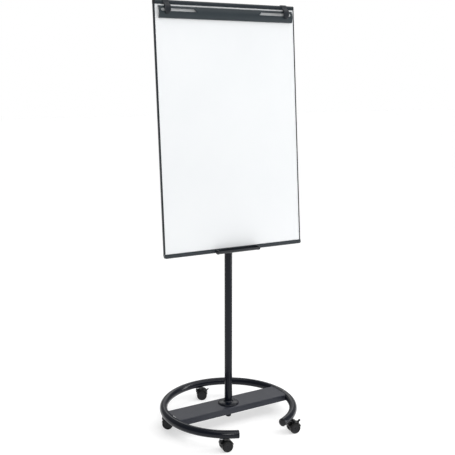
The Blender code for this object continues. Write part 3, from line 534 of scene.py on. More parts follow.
# %% Zinc plate
def zinc():
    """Clouds are a slow noise; the lathe's rings are a noise drawn out to thin layers."""
    metal = Finish("zinc plate", (0.56, 0.57, 0.58), 0.32, Metallic=1.0)
    clouds = metal.noise(60.0, 4.0)
    streaks = metal.noise(1.0, 3.0, metal.stretched((160.0, 160.0, 2600.0)))
    metal.give("Base Color", metal.blend(clouds, (0.47, 0.48, 0.49), (0.63, 0.64, 0.66)))
    metal.give("Roughness", 0.24 + 0.14 * clouds + 0.06 * streaks)
    metal.relief(streaks, 0.10, 0.0001)
    return metal


zinc_plate = zinc()
print("zinc:", len(zinc_plate.tree.nodes), "nodes")


# %% Galvanised backing
def galvanised():
    """Each crystal is one cell; its own random shade sets its colour and gloss."""
    metal = Finish("galvanised backing", (0.42, 0.44, 0.46), 0.45, Metallic=0.55)
    crystal = metal.node("ShaderNodeTexVoronoi", {}, {"Vector": metal.place, "Scale": 90.0},
                         "Color")
    shade_of = metal.node("ShaderNodeSeparateColor", {}, {"Color": crystal}, 0)
    drift = metal.noise(3.0, 3.0)
    share = 0.6 * shade_of + 0.4 * drift
    metal.give("Base Color", metal.blend(share, (0.38, 0.40, 0.42), (0.47, 0.49, 0.51)))
    metal.give("Roughness", 0.38 + 0.16 * shade_of)
    metal.relief(metal.noise(240.0, 3.0), 0.06, 0.0002)
    return metal


backing = galvanised()
print("backing:", len(backing.tree.nodes), "nodes")


# %% Rubber
def rubber():
    """Shade drifts with a slow noise; gloss and relief follow one fine grain."""
    soft = Finish("strip rubber", (0.0085, 0.0085, 0.0088), 0.78)
    grain = soft.noise(1400.0, 3.0)
    drift = soft.noise(40.0, 3.0)
    soft.give("Base Color", soft.blend(drift, (0.007, 0.007, 0.0073), (0.014, 0.0138, 0.0135)))
    soft.give("Roughness", 0.72 + 0.14 * grain)
    soft.relief(grain, 0.25, 0.0002)
    return soft


# %% Which slot takes which finish
FINISHES = {"black_steel": black_powder, "channel_steel": grey_powder, "frame_lacquer": charcoal,
            "clamp_lacquer": clamp_charcoal, "white_lacquer": white_enamel, "core": backing,
            "grey_plastic": grey_plastic, "black_plastic": black_plastic,
            "castor_plastic": castor_plastic, "wheel_plastic": wheel_plastic,
            "zinc_steel": zinc_plate, "strip_rubber": rubber()}
print("finishes:", len(FINISHES))

# %% [markdown]
# ## Solids that keep their shape
# Flat and straight parts are already right as they are: the sheet, its backing, the side
# profiles, the spine and the bolts. They only need a finish.

# %% Finishes for the solids that stay
STAYS = {"writing_panel": "white_lacquer", "back_panel": "core", "frame_left": "frame_lacquer",
         "frame_right": "frame_lacquer", "back_spine": "zinc_steel", "board_bracket": "black_steel",
         "tilt_head": "black_plastic", "tilt_bolt": "zinc_steel", "bar_strip": "strip_rubber",
         "pole_plug": "black_plastic", "base_bolt": "zinc_steel"}
STAYS |= {f"castor_{name}_{part}": "zinc_steel" for name in CASTORS for part in ("stem", "axle")}
for node, slot in STAYS.items():
    solid = frame["nodes"][node]
    if not solid.material_slots:
        solid.data.materials.append(None)
    for material_slot in solid.material_slots:
        material_slot.material = FINISHES[slot].material
print("solids kept:", len(STAYS))


# %% Fitting a new piece
BODIES = frame["record"]["behaviour"]["bodies"]
BODY_OF = {node: body for body, nodes in BODIES.items() for node in nodes}


def fit(made, slot, *nodes, body=None, finish=None):
    """Gives a piece its finish, hangs it on the body it rides on and hides the solids it stands for."""
    made.data.materials.clear()
    made.data.materials.append((finish or FINISHES[slot]).material)
    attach(made, body or BODY_OF[nodes[0]])
    if nodes:
        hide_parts(*nodes)
    print(made.name, len(made.data.polygons), "faces")


# %% [markdown]
# ## The ring
# The base is one bent tube, open at the front, so that it can be pushed over a table's foot.
# A curve with a round bevel would do, but a grid gives exact control: one row for each step
# round the ring, one column for each step round the tube.

# %% The base's own frame
back_swivel = joint_place("castor_back_swivel") - POLE_AXIS
BASE_TURN = math.atan2(-back_swivel[0], back_swivel[1])
RING_RADIUS = math.hypot(back_swivel[0], back_swivel[1])
ring_low, ring_high = box("base_ring")
RING_UP = (ring_low[2] + ring_high[2]) / 2
TUBE_RADIUS = (ring_high[2] - ring_low[2]) / 2
TUBE_BORE = TUBE_RADIUS - 0.002
RING_HALF_GAP = math.radians(22.2)      # half the opening at the front


def on_base(x, y, z):
    """Base to world: turned about the pole by the base's turn, then moved to the pole."""
    x, y, z = np.broadcast_arrays(x, y, z)
    cos, sin = math.cos(BASE_TURN), math.sin(BASE_TURN)
    return np.stack([x * cos - y * sin, x * sin + y * cos, z], -1) + POLE_AXIS


print("ring radius", round(RING_RADIUS, 4), "turned", round(math.degrees(BASE_TURN), 2), "degrees")


# %% The bent tube
def bent_tube(angles, radii, columns=48):
    """Centre (R sin a, -R cos a), plus radius * (cos b outward, sin b up), a round the ring
    and b round the tube."""
    a, radius = angles[:, None], radii[:, None]
    b = np.linspace(0.0, 2 * np.pi, columns, endpoint=False)[None, :]
    reach = RING_RADIUS + radius * np.cos(b)
    return on_base(reach * np.sin(a), -reach * np.cos(a), RING_UP + radius * np.sin(b))


EDGE = 0.0008               # the rounding of each cut end
BORE_DEPTH = 0.012          # how far the bore is followed in behind it
RING_STEPS = 260
start, stop = RING_HALF_GAP, 2 * math.pi - RING_HALF_GAP
ring_length = (stop - start) * RING_RADIUS
inset, edge = BORE_DEPTH / ring_length, EDGE / ring_length
ring_rows = np.concatenate([[inset, 0.0, 0.0], np.linspace(edge, 1 - edge, RING_STEPS),
                            [1.0, 1.0, 1 - inset]])
cut = [TUBE_BORE, TUBE_BORE, TUBE_RADIUS - EDGE]
ring_radii = np.concatenate([cut, np.full(RING_STEPS, TUBE_RADIUS), cut[::-1]])
ring_grid = bent_tube(start + (stop - start) * ring_rows, ring_radii)
fit(Shell().add(ring_grid, ends=True).piece("ring tube", 40), "black_steel", "base_ring")


# %% A domed plug in each end
def ring_plug(name, node, side):
    """A turned dome whose axis is the tube's own direction where it ends."""
    angle = side * RING_HALF_GAP
    spigot = TUBE_BORE - 0.0018
    dome = [(0.0, 0.0036), (0.006, 0.0036), (0.0115, 0.0034), (0.0150, 0.0028), (0.0168, 0.0021),
            (0.0177, 0.0014), (TUBE_RADIUS, 0.0008), (TUBE_RADIUS, CLEAR), (spigot, CLEAR),
            (spigot, -0.010), (0.0, -0.010)]
    centre = on_base(RING_RADIUS * math.sin(angle), -RING_RADIUS * math.cos(angle), RING_UP)
    axis = on_base(-side * math.cos(angle), -side * math.sin(angle), 0.0) - POLE_AXIS
    fit(Shell().add(turned(dome, centre, axis, 48)).piece(name, 40), "black_plastic", node)


ring_plug("ring plug right", "ring_cap_right", 1)
ring_plug("ring plug left", "ring_cap_left", -1)

# %% [markdown]
# ## The channel under the pole
# A wide steel channel, folded downwards, spans the ring and is welded to it. Its ends are cut
# to the tube: a line across the channel at height z meets the tube where its distance from
# the centre is R - sqrt(r^2 - (z - ring height)^2). That gives every point of the section its
# own length, so the end fits the tube exactly.

# %% The folded channel
channel_low, channel_high = box("cross_channel")
CHANNEL_HALF, CHANNEL_WALL = 0.061, 0.003
OUTER_BEND, INNER_BEND = 0.0055, 0.003
outer_fold = eased([(-CHANNEL_HALF, channel_low[2]), (-CHANNEL_HALF, channel_high[2]),
                    (CHANNEL_HALF, channel_high[2]), (CHANNEL_HALF, channel_low[2])],
                   OUTER_BEND, 8)
inner_half, inner_top = CHANNEL_HALF - CHANNEL_WALL, channel_high[2] - CHANNEL_WALL
inner_fold = eased([(inner_half, channel_low[2]), (inner_half, inner_top),
                    (-inner_half, inner_top), (-inner_half, channel_low[2])],
                   INNER_BEND, 8)
channel_section = np.concatenate([outer_fold, inner_fold])


def reach_to_tube(y, z):
    """How far along the channel a line at (y, z) meets the tube."""
    rise = np.minimum(np.abs(z - RING_UP), TUBE_RADIUS)
    reach = RING_RADIUS - np.sqrt((TUBE_RADIUS + CLEAR) ** 2 - rise ** 2)
    return np.sqrt(reach ** 2 - y ** 2)


channel_ends = reach_to_tube(channel_section[:, 0], channel_section[:, 1])
channel_grid = drawn(channel_section, channel_ends, on_base)
fit(Shell().add(channel_grid, ends=True).piece("folded channel", 30), "channel_steel",
    "cross_channel")


# %% Weld beads where the channel meets the tube
BEAD_RADIUS, BEAD_SHARE, BEAD_STEP = 0.0021, 0.16, 0.0042   # its ripples: how high, how long
BEAD_TAPER, BEAD_SUNK = 0.004, 0.0006


def weld_bead(side, columns=10):
    """A thin tube along the joint, of radius r (1 + share * sin(2 pi length / step)).

    It ripples as a bead does with each dab of the torch, and tapers to a quarter at its ends.
    """
    y, z = smooth_line(outer_fold, 420).T
    centre = on_base(side * (reach_to_tube(y, z) - BEAD_SUNK), y, z)
    slope = np.gradient(centre, axis=0)
    slope /= np.linalg.norm(slope, axis=1, keepdims=True)
    along = on_base(1.0, 0.0, 0.0) - POLE_AXIS
    first = along - slope * (slope @ along)[:, None]
    first /= np.linalg.norm(first, axis=1, keepdims=True)
    second = np.cross(slope, first)
    length = np.concatenate([[0.0], np.cumsum(np.linalg.norm(np.diff(centre, axis=0), axis=1))])
    taper = np.minimum(1.0, np.minimum(length, length[-1] - length) / BEAD_TAPER + 0.25)
    ripple = 1 + BEAD_SHARE * np.sin(2 * np.pi * length / BEAD_STEP)
    width = (BEAD_RADIUS * ripple * taper)[:, None, None]
    angle = np.linspace(0.0, 2 * np.pi, columns, endpoint=False)[None, :, None]
    outward = np.cos(angle) * first[:, None] + np.sin(angle) * second[:, None]
    return centre[:, None] + width * outward


beads = Shell().add(weld_bead(1), ends=True).add(weld_bead(-1), ends=True)
fit(beads.piece("channel weld beads", 60), "channel_steel", body="base")

# %% [markdown]
# ## The pole
# Everything on the pole's axis is turned: a profile of (radius, height) points goes once
# round. The rosette is a low dome with a thin rim, pressed from sheet and drawn up into a
# collar round the tube.

# %% Rosette
SEAT = pole_low[2]
POLE_RADIUS = (pole_high[0] - pole_low[0]) / 2
rosette_low, rosette_high = box("pole_flange")
rim = (rosette_high[0] - rosette_low[0]) / 2
bore = POLE_RADIUS + CLEAR
dome = smooth_line([(rim, 0.0026), (rim - 0.0022, 0.0043), (rim - 0.008, 0.0064),
                    (rim - 0.015, 0.0081), (bore + 0.0085, 0.0096), (bore + 0.0052, 0.0110),
                    (bore + 0.0034, 0.0131), (bore + 0.0022, 0.0140)], 40)
rosette = np.concatenate([[(bore, 0.0), (rim - 0.0006, 0.0), (rim, 0.0006)], dome,
                          [(bore, 0.0140)]])
rosette_grid = turned(rosette, POLE_AXIS + [0, 0, SEAT], (0, 0, 1), 96)
fit(Shell().add(rosette_grid, wrap_rows=True).piece("rosette", 35), "black_steel", "pole_flange")


# %% Tubes and the guide between them
def tube_on_axis(name, node, radius, wall, low, high, edge=0.0006):
    """A tube whose outer ends are eased by a quarter of a circle."""
    start = arc(edge, -90, 0, 4, (radius - edge, low + edge))
    stop = arc(edge, 0, 90, 4, (radius - edge, high - edge))
    profile = np.concatenate([[(radius - wall, low)], start, stop, [(radius - wall, high)]])
    grid = turned(profile, POLE_AXIS, (0, 0, 1), 96)
    fit(Shell().add(grid, wrap_rows=True).piece(name, 35), "black_steel", node)


inner_low, inner_high = box("pole_inner")
INNER_RADIUS = (inner_high[0] - inner_low[0]) / 2
OUTER_WALL, INNER_WALL = 0.0018, 0.0015
tube_on_axis("outer tube", "pole_outer", POLE_RADIUS, OUTER_WALL, pole_low[2], pole_high[2])
tube_on_axis("inner tube", "pole_inner", INNER_RADIUS, INNER_WALL, inner_low[2], inner_high[2])

# %% Guide sleeve
sleeve_foot, sleeve_top = box("guide_sleeve")[0][2], box("guide_sleeve")[1][2]
bore, spigot, seat = INNER_RADIUS + CLEAR, POLE_RADIUS - 0.0020, pole_high[2] + CLEAR
sleeve = [(bore, sleeve_foot), (spigot, sleeve_foot), (spigot, seat),
          (POLE_RADIUS - 0.0004, seat), (POLE_RADIUS, seat + 0.0005),
          (POLE_RADIUS, sleeve_top - 0.0014), (POLE_RADIUS - 0.0004, sleeve_top - 0.0004),
          (POLE_RADIUS - 0.0014, sleeve_top), (bore, sleeve_top)]
sleeve_grid = turned(sleeve, POLE_AXIS, (0, 0, 1), 96)
fit(Shell().add(sleeve_grid, wrap_rows=True).piece("guide sleeve", 30), "black_plastic",
    "guide_sleeve")

# %% The nut under the channel
nut_low, nut_high = box("base_nut")
NUT_RADIUS, NUT_BORE, NUT_FLOOR = 0.0135, 0.0054, 0.012
nut = [(0.0, nut_low[2]), (NUT_RADIUS - 0.0045, nut_low[2]),
       (NUT_RADIUS - 0.0022, nut_low[2] + 0.0008),
       (NUT_RADIUS - 0.0006, nut_low[2] + 0.0024), (NUT_RADIUS, nut_low[2] + 0.0046),
       (NUT_RADIUS, nut_high[2] - 0.0072), (NUT_RADIUS + 0.0012, nut_high[2] - 0.0058),
       (NUT_RADIUS + 0.0050, nut_high[2] - 0.0046), (NUT_RADIUS + 0.0062, nut_high[2] - 0.0036),
       (NUT_RADIUS + 0.0065, nut_high[2] - 0.0026), (NUT_RADIUS + 0.0065, nut_high[2]),
       (NUT_BORE, nut_high[2]), (NUT_BORE, nut_low[2] + NUT_FLOOR),
       (0.0, nut_low[2] + NUT_FLOOR)]
nut_grid = turned(nut, POLE_AXIS, (0, 0, 1), 64)
fit(Shell().add(nut_grid).piece("pole foot nut", 40), "black_steel", "base_nut")

# %% [markdown]
# ## The clamp and its knobs
# A collar with a boss holds the height knob. Both knobs are the same star knob: a lobed head
# on a round hub, moulded in one piece. Its surface is a turned profile whose radius also
# rises and falls five times round, and a weight says how much of that each ring of it takes.

# %% Collar
collar_low, collar_high = box("clamp_collar")
COLLAR_RADIUS = (collar_high[0] - collar_low[0]) / 2
SCREW_UP = (collar_low[2] + collar_high[2]) / 2
bore, edge = POLE_RADIUS + CLEAR, 0.0012
side = COLLAR_RADIUS - edge
collar = np.concatenate([[(bore, collar_low[2])],
                         arc(edge, -90, 0, 4, (side, collar_low[2] + edge)),
                         arc(edge, 0, 90, 4, (side, collar_high[2] - edge)),
                         [(bore, collar_high[2])]])
boss_end = collar_high[1] - POLE_AXIS[1]
boss = [(0.0045, 0.020), (0.0115, 0.020), (0.0112, 0.0225), (0.0110, 0.0240),
        (0.0110, boss_end - 0.0008), (0.0102, boss_end), (0.0045, boss_end)]
screw_axis = POLE_AXIS + [0, 0, SCREW_UP]
collar_shell = Shell().add(turned(collar, POLE_AXIS, (0, 0, 1), 96), wrap_rows=True)
collar_shell.add(turned(boss, screw_axis, (0, 1, 0), 48), wrap_rows=True)
fit(collar_shell.piece("clamp collar", 35), "black_steel", "clamp_collar")


# %% Star knob
KNOB_RADIUS, KNOB_LENGTH = 0.019, 0.022
KNOB_LOBES, LOBE_DEPTH, KNOB_STEPS = 5, 0.0045, 120
KNOB_HEAD = [(0.0080, 0.0, 0), (0.0085, 0.0006, 0), (0.0085, 0.0068, 0), (0.0092, 0.0077, 0),
             (0.0110, 0.0081, 0.35), (KNOB_RADIUS - 0.0022, 0.0083, 1),
             (KNOB_RADIUS - 0.0007, 0.0089, 1), (KNOB_RADIUS, 0.0104, 1),
             (KNOB_RADIUS, 0.0150, 1), (KNOB_RADIUS - 0.0001, 0.0192, 1),
             (KNOB_RADIUS - 0.0008, 0.0208, 1), (KNOB_RADIUS - 0.0024, 0.0217, 1),
             (KNOB_RADIUS - 0.0050, 0.0219, 0.85), (0.0092, 0.0216, 0.3), (0.0078, 0.0208, 0),
             (0.0066, 0.0206, 0), (0.0, 0.0206, 0)]     # radius, height, weight of the lobes


def star_knob(name, node, seat, axis, shaft, shaft_end):
    """Radius = profile radius - weight * depth * (1 - cos 5a) / 2, a round the axis.

    The first rings are the screw or the bore, the rest the hub, the head and its shallow dish.
    """
    rings = np.array([(0.0, shaft_end, 0), (shaft, shaft_end, 0), (shaft, 0.0, 0), *KNOB_HEAD])
    grid = turned(rings[:, :2], seat, axis, KNOB_STEPS)
    a = np.linspace(0.0, 2 * np.pi, KNOB_STEPS, endpoint=False)[None, :]
    fall = rings[:, 2, None] * LOBE_DEPTH * (1 - np.cos(KNOB_LOBES * a)) / 2
    centre = np.asarray(seat) + rings[:, 1, None, None] * np.asarray(axis, float)
    keep = 1 - fall / np.maximum(rings[:, 0, None], 0.001)
    grid = centre + (grid - centre) * keep[..., None]
    fit(Shell().add(grid).piece(name, 40), "black_plastic", node)


# %% The two knobs
knob_seat = np.array([0.0, box("height_knob")[1][1] - KNOB_LENGTH, SCREW_UP])
screw_tip = INNER_RADIUS + POLE_AXIS[1] + 0.0003 - knob_seat[1]
star_knob("height star knob", "height_knob", knob_seat, (0, 1, 0), 0.004, screw_tip)
pivot = joint_place("board_tilt")
tilt_seat = np.array([box("tilt_knob")[1][0] - KNOB_LENGTH, pivot[1], pivot[2]])
star_knob("tilt star knob", "tilt_knob", tilt_seat, (1, 0, 0), 0.0042, 0.018)

# %% [markdown]
# ## Castors
# Each castor has two wheels under one hood. A wheel is turned: a rounded tread, a raised rim,
# a groove and a slightly dished disc with a hub cap. The hood is an arc of plastic over both
# wheels, whose ends are drawn in and rounded, on a web that runs between them.

# %% Wheel
WHEEL_INNER = 0.0086        # inner face from the castor's middle
DISC_RADIUS, DISC_OUT = 0.0187, 0.01    # the disc lies inside this radius, past this depth
WHEEL_PROFILE = [(0.0, 0.0153), (0.0028, 0.0151), (0.0042, 0.0145), (0.0047, 0.0134),
                 (0.0056, 0.0131), (0.0068, 0.0137), (0.0120, 0.0141), (0.0163, 0.0141),
                 (0.0172, 0.0133), (0.0182, 0.0133), (0.0190, 0.0146), (0.0202, 0.0155),
                 (0.0221, 0.0155), (0.0236, 0.0150), (0.0245, 0.0140), (0.0249, 0.0127),
                 (0.0250, 0.0110), (0.0250, 0.0030), (0.0248, 0.0014), (0.0241, 0.0003),
                 (0.0230, 0.0), (0.0033, 0.0), (0.0033, 0.0120), (0.0, 0.0120)]


def castor_wheel(castor, hand, side):
    """One wheel; its `disc` attribute is 1 on the outer face, inside the disc's radius."""
    frame_of = CASTOR_FRAMES[castor]
    axis = side * frame_of.across
    centre = frame_of.place(frame_of.trail, side * WHEEL_INNER, WHEEL_RADIUS)
    wheel = Shell().add(turned(WHEEL_PROFILE, centre, axis, 72))
    wheel = wheel.piece(f"castor {castor} {hand} wheel", 32)
    points = np.empty(len(wheel.data.vertices) * 3)
    wheel.data.vertices.foreach_get("co", points)
    off = points.reshape(-1, 3) - centre
    out = off @ axis
    radius = np.linalg.norm(off - out[:, None] * axis, axis=1)
    disc = wheel.data.attributes.new("disc", "FLOAT", "POINT")
    on_disc = (radius < DISC_RADIUS) & (out > DISC_OUT)
    disc.data.foreach_set("value", on_disc.astype(np.float32))
    fit(wheel, "wheel_plastic", f"castor_{castor}_wheel_{hand}")


# %% Hood
HOOD_RADIUS, HOOD_WALL, HOOD_HALF = 0.0285, 0.0023, 0.024   # the arc over both wheels
WEB_HALF, HOOD_TOP = 0.0079, 0.056                          # the web between them, the crown


def fender(castor, rows=64, columns=72):
    """Centre radius R, angle a from 12 to 168 degrees, a superellipse section across.

    Near each end the half width loses 3 mm times t^2, t running 0 to 1 over the last 14 degrees.
    """
    a = np.radians(np.linspace(12.0, 168.0, rows))
    t = np.clip((np.abs(np.degrees(a) - 90.0) - 64.0) / 14.0, 0.0, 1.0)[:, None]
    wide, thick = rounded_section(columns, 7.0)
    across = (HOOD_HALF - 0.003 * t ** 2) * wide
    radius = HOOD_RADIUS - HOOD_WALL / 2 + HOOD_WALL / 2 * thick * (1 - 0.25 * t ** 4)
    frame_of = CASTOR_FRAMES[castor]
    return frame_of.place(frame_of.trail + radius * np.cos(a)[:, None], across,
                          WHEEL_RADIUS + radius * np.sin(a)[:, None])


# %% Slabs across a castor, and the lever's place
def slab(outline, half_width, castor, rounding=0.0008, middle=0.0):
    """An outline (along, up) carried across the castor about a middle, with eased ends."""
    frame_of = CASTOR_FRAMES[castor]

    def place(across, along, up):
        return frame_of.place(along, across + middle, up)

    return drawn(outline, half_width, place, rounding, 3)


BRAKED = ("front_right", "back")
LEVER_ANGLE = math.radians(42.0)
LEVER_REACH = HOOD_RADIUS + 0.0022
LUG_HALF, LUG_MIDDLE, TAB_HALF = 0.0011, 0.0074, 0.0059


def lever_place(points, trail):
    """Lever's own (outward, round) to the castor's (along, up), at the lever's angle."""
    outward, turn = (np.asarray(points, float) + [LEVER_REACH, 0.0]).T
    cos, sin = math.cos(LEVER_ANGLE), math.sin(LEVER_ANGLE)
    return np.stack([trail + outward * cos - turn * sin,
                     WHEEL_RADIUS + outward * sin + turn * cos], -1)


# %% Hood, web, neck and lugs as one piece
def castor_hood(castor):
    """The arc, a web below it, a neck and a ring round the stem, and lugs if it has a lever."""
    trail = CASTOR_FRAMES[castor].trail
    web = np.concatenate([arc(HOOD_RADIUS - 0.0012, 25, 160, 40, (trail, WHEEL_RADIUS)),
                          arc(0.0085, 200, 340, 12, (trail, WHEEL_RADIUS))])
    base = WHEEL_RADIUS + HOOD_RADIUS - 0.004
    neck = eased([(-0.0095, base), (-0.0095, 0.0395), (-0.0060, 0.0360), (0.0100, 0.0360),
                  (0.0100, base)], 0.0015, 3, closed=True)
    crown = [(0.0052, base - 0.002), (0.0100, base - 0.002), (0.0100, HOOD_TOP - 0.0008),
             (0.0093, HOOD_TOP), (0.0052, HOOD_TOP)]
    shell = Shell().add(fender(castor), ends=True)
    shell.add(slab(web, WEB_HALF, castor), ends=True)
    shell.add(slab(neck, WEB_HALF - CLEAR, castor), ends=True)
    shell.add(turned(crown, CASTOR_FRAMES[castor].foot, (0, 0, 1), 48), wrap_rows=True)
    if castor in BRAKED:
        lug = eased([(-0.0045, -0.003), (0.0012, -0.003), (0.0012, 0.003), (-0.0045, 0.003)],
                    0.0012, 3, closed=True)
        for middle in (-LUG_MIDDLE, LUG_MIDDLE):
            grid = slab(lever_place(lug, trail), LUG_HALF, castor, 0.0004, middle)
            shell.add(grid, ends=True)
    fit(shell.piece(f"castor {castor} cover", 35), "castor_plastic", f"castor_{castor}_hood")


# %% Brake lever
def brake_tab(castor):
    """A flat tab on a round hub, thickest near its lip, with eased ends."""
    hub = arc(0.0021, 70, 290, 10)
    arm = smooth_line([(0.0, -0.0021), (0.0040, -0.0012), (0.0075, -0.0014), (0.0105, -0.0025),
                       (0.0130, -0.0016), (0.0135, 0.0006), (0.0110, 0.0021),
                       (0.0075, 0.0013), (0.0, 0.0020)], 44)
    outline = np.concatenate([hub, arm[1:-1]])
    grid = slab(lever_place(outline, CASTOR_FRAMES[castor].trail), TAB_HALF, castor)
    tab = Shell().add(grid, ends=True).piece(f"castor {castor} brake tab", 40)
    fit(tab, "castor_plastic", f"castor_{castor}_brake")


# %% All five castors
for castor in CASTORS:
    castor_hood(castor)
    for side, hand in ((1, "left"), (-1, "right")):
        castor_wheel(castor, hand, side)
    if castor in BRAKED:
        brake_tab(castor)

# %% [markdown]
# ## The board's frame
# The lower rail has a rolled front that swells forward and round lower corners. A line
# across it at height u is shorter than the full width by r - sqrt(r^2 - (r - u)^2) where u is
# less than the corner's radius r, so the corner is part of the same formula as the section.

# %% Lower rail
GROOVE_FRONT, GROOVE_BACK = 0.0011, 0.0122      # the sheet's groove, behind the front
RAIL_HEIGHT, GROOVE_DEPTH = 0.0188, 0.0042
RAIL_DEPTH, BACK_BEND, CORNER = 0.0145, 0.003, 0.010
groove_floor = RAIL_HEIGHT - GROOVE_DEPTH
roll = smooth_line([(0.0, RAIL_HEIGHT), (0.0011, 0.0172), (0.0018, 0.0150), (0.0019, 0.0128),
                    (0.0020, 0.0118), (0.0034, 0.0104), (0.0036, 0.0080), (0.0033, 0.0052),
                    (0.0022, 0.0022), (0.0, 0.0004)], 48)
back_bend = arc(BACK_BEND, -90, -180, 5, (BACK_BEND - RAIL_DEPTH, BACK_BEND))
lower_section = np.concatenate([roll, [(-0.0030, 0.0)], back_bend,
                                [(-RAIL_DEPTH, RAIL_HEIGHT), (-GROOVE_BACK, RAIL_HEIGHT),
                                 (-GROOVE_BACK, groove_floor), (-GROOVE_FRONT, groove_floor),
                                 (-GROOVE_FRONT, RAIL_HEIGHT)]])
in_corner = np.clip(CORNER - lower_section[:, 1], 0.0, CORNER)
short_of = CORNER - np.sqrt(CORNER ** 2 - in_corner ** 2)
lower_grid = drawn(lower_section, BOARD_HALF - short_of, on_board)
lower_rail = Shell().add(lower_grid, ends=True).piece("lower rail", 38)
# The lower rail takes the lighter lacquer copy, painted light.
fit(lower_rail, "frame_lacquer", "frame_bottom", finish=lit_rail_lacquer)

# %% [markdown]
# The top rail is drawn aluminium with a raised flat along its front, and a plastic cap closes
# each end. A cap is the same outline, drawn in towards its end like the corner of a cushion.

# %% The top rail's own frame
RAIL_BACK, RAIL_UP = 0.007, BOARD_HEIGHT - RAIL_HEIGHT / 2


def on_rail(across, out, up):
    """From the top rail's middle, which is also what the clamp bar swings on."""
    return on_board(across, np.asarray(out) - RAIL_BACK, np.asarray(up) + RAIL_UP)


print("rail middle", on_rail(0.0, 0.0, 0.0).round(5))
print("clamp bar's joint", joint_place("clamp_swing").round(5))

# %% Top rail
HALF_OUT, HALF_UP, SHOULDER = 0.009, RAIL_HEIGHT / 2, 0.006
RIDGE, RIDGE_HALF = 0.0006, 0.0042              # the raised flat along the front
CAP, CAP_EASE = 0.006, 0.0032
shoulders = np.concatenate([
    arc(SHOULDER, 180, 90, 10, (-HALF_OUT + SHOULDER, HALF_UP - SHOULDER)),
    arc(SHOULDER, 90, 0, 10, (HALF_OUT - SHOULDER, HALF_UP - SHOULDER))])
ridge = eased([(HALF_OUT, RIDGE_HALF), (HALF_OUT + RIDGE, RIDGE_HALF - RIDGE),
               (HALF_OUT + RIDGE, -RIDGE_HALF + RIDGE), (HALF_OUT, -RIDGE_HALF)], 0.0004, 3)
groove = [(RAIL_BACK - GROOVE_FRONT, -HALF_UP),
          (RAIL_BACK - GROOVE_FRONT, -HALF_UP + GROOVE_DEPTH),
          (RAIL_BACK - GROOVE_BACK, -HALF_UP + GROOVE_DEPTH),
          (RAIL_BACK - GROOVE_BACK, -HALF_UP)]
rail_section = np.concatenate([
    shoulders, ridge, [(HALF_OUT, -HALF_UP + 0.0008), (HALF_OUT - 0.0008, -HALF_UP)],
    groove, [(-HALF_OUT, -HALF_UP)]])
rail_grid = drawn(rail_section, BOARD_HALF - CAP - CLEAR, on_rail)
# The top rail takes the lighter lacquer copy, painted light.
fit(Shell().add(rail_grid, ends=True).piece("drawn top rail", 30), "frame_lacquer", "top_rail",
    finish=lit_rail_lacquer)


# %% Rail caps
def rail_cap(name, node, side):
    """The rail's outline; over its last 3.2 mm, r, it draws in by r * (1 - sqrt(1 - t^2)),
    t from 0 to 1."""
    lower = eased([(HALF_OUT, -0.002), (HALF_OUT, -HALF_UP), (-HALF_OUT, -HALF_UP),
                   (-HALF_OUT, -0.002)], 0.001, 3)
    outline = np.concatenate([shoulders, lower])
    t = np.sin(np.linspace(0.0, np.pi / 2, 9))
    start = BOARD_HALF - CAP
    across = np.concatenate([[start, start + 0.0003], BOARD_HALF - CAP_EASE * (1 - t)])
    drop = CAP_EASE * (1 - np.sqrt(1 - np.concatenate([[0.0, 0.0], t]) ** 2))
    scale = 1 - drop[:, None, None] / np.array([HALF_OUT, HALF_UP])
    points = scale * outline
    cap = Shell().add(on_rail(side * across[:, None], points[..., 0], points[..., 1]), ends=True)
    fit(cap.piece(name, 40), "black_plastic", node)


rail_cap("rail cap left end", "rail_cap_left", -1)
rail_cap("rail cap right end", "rail_cap_right", 1)

# %% [markdown]
# ## The clamp bar
# The bar that holds the pad is a thin drawn profile, arched so that it springs against the
# paper, with a long slot near each end for the hooks' pins. One end of each slot is cut at a
# slant. The skin is a grid across the bar, split in two rows of strips that meet on a seam.
# Along a slot the strips' edges part, and that leaves the opening. Solidify adds the wall.

# %% Bar skin
BAR_HALF, BAR_TOP, BAR_LOW = 0.332, HALF_UP - 0.0265, HALF_UP - 0.077
BAR_EDGE, BAR_BELLY, BAR_WALL = 0.016, 0.023, 0.0024
SLOT_IN, SLOT_OUT, SLOT_UP = 0.162, 0.322, HALF_UP - 0.0427
SLANT, SLOT_HALF, SLOT_CORNER = 0.0065, 0.00655, 0.005


def arch(up):
    """A parabola: edge + (belly - edge) * (1 - s^2), s from -1 to 1 over the bar's height."""
    s = 2 * (up - BAR_LOW) / (BAR_TOP - BAR_LOW) - 1
    return BAR_EDGE + (BAR_BELLY - BAR_EDGE) * (1 - s ** 2)


def slot_edges(x):
    """Lower and upper edge of the slot at each x; outside it both lie on the seam."""
    reach, foot = np.abs(x), SLOT_UP - SLOT_HALF
    t = np.clip((reach - SLOT_OUT + SLOT_CORNER) / SLOT_CORNER, 0.0, 1.0)
    rounding = SLOT_HALF * (1 - np.sqrt(1 - t ** 2))
    slope = np.clip((reach - SLOT_IN + SLANT) / (2 * SLANT), 0.0, 1.0)
    low = np.where(reach <= SLOT_OUT, foot + rounding, SLOT_UP)
    high = np.where(reach <= SLOT_OUT, foot + 2 * SLOT_HALF * slope - rounding, SLOT_UP)
    return low, high


print("slots", round(SLOT_OUT - SLOT_IN, 3), "m long, arch", round(BAR_BELLY - BAR_EDGE, 3))


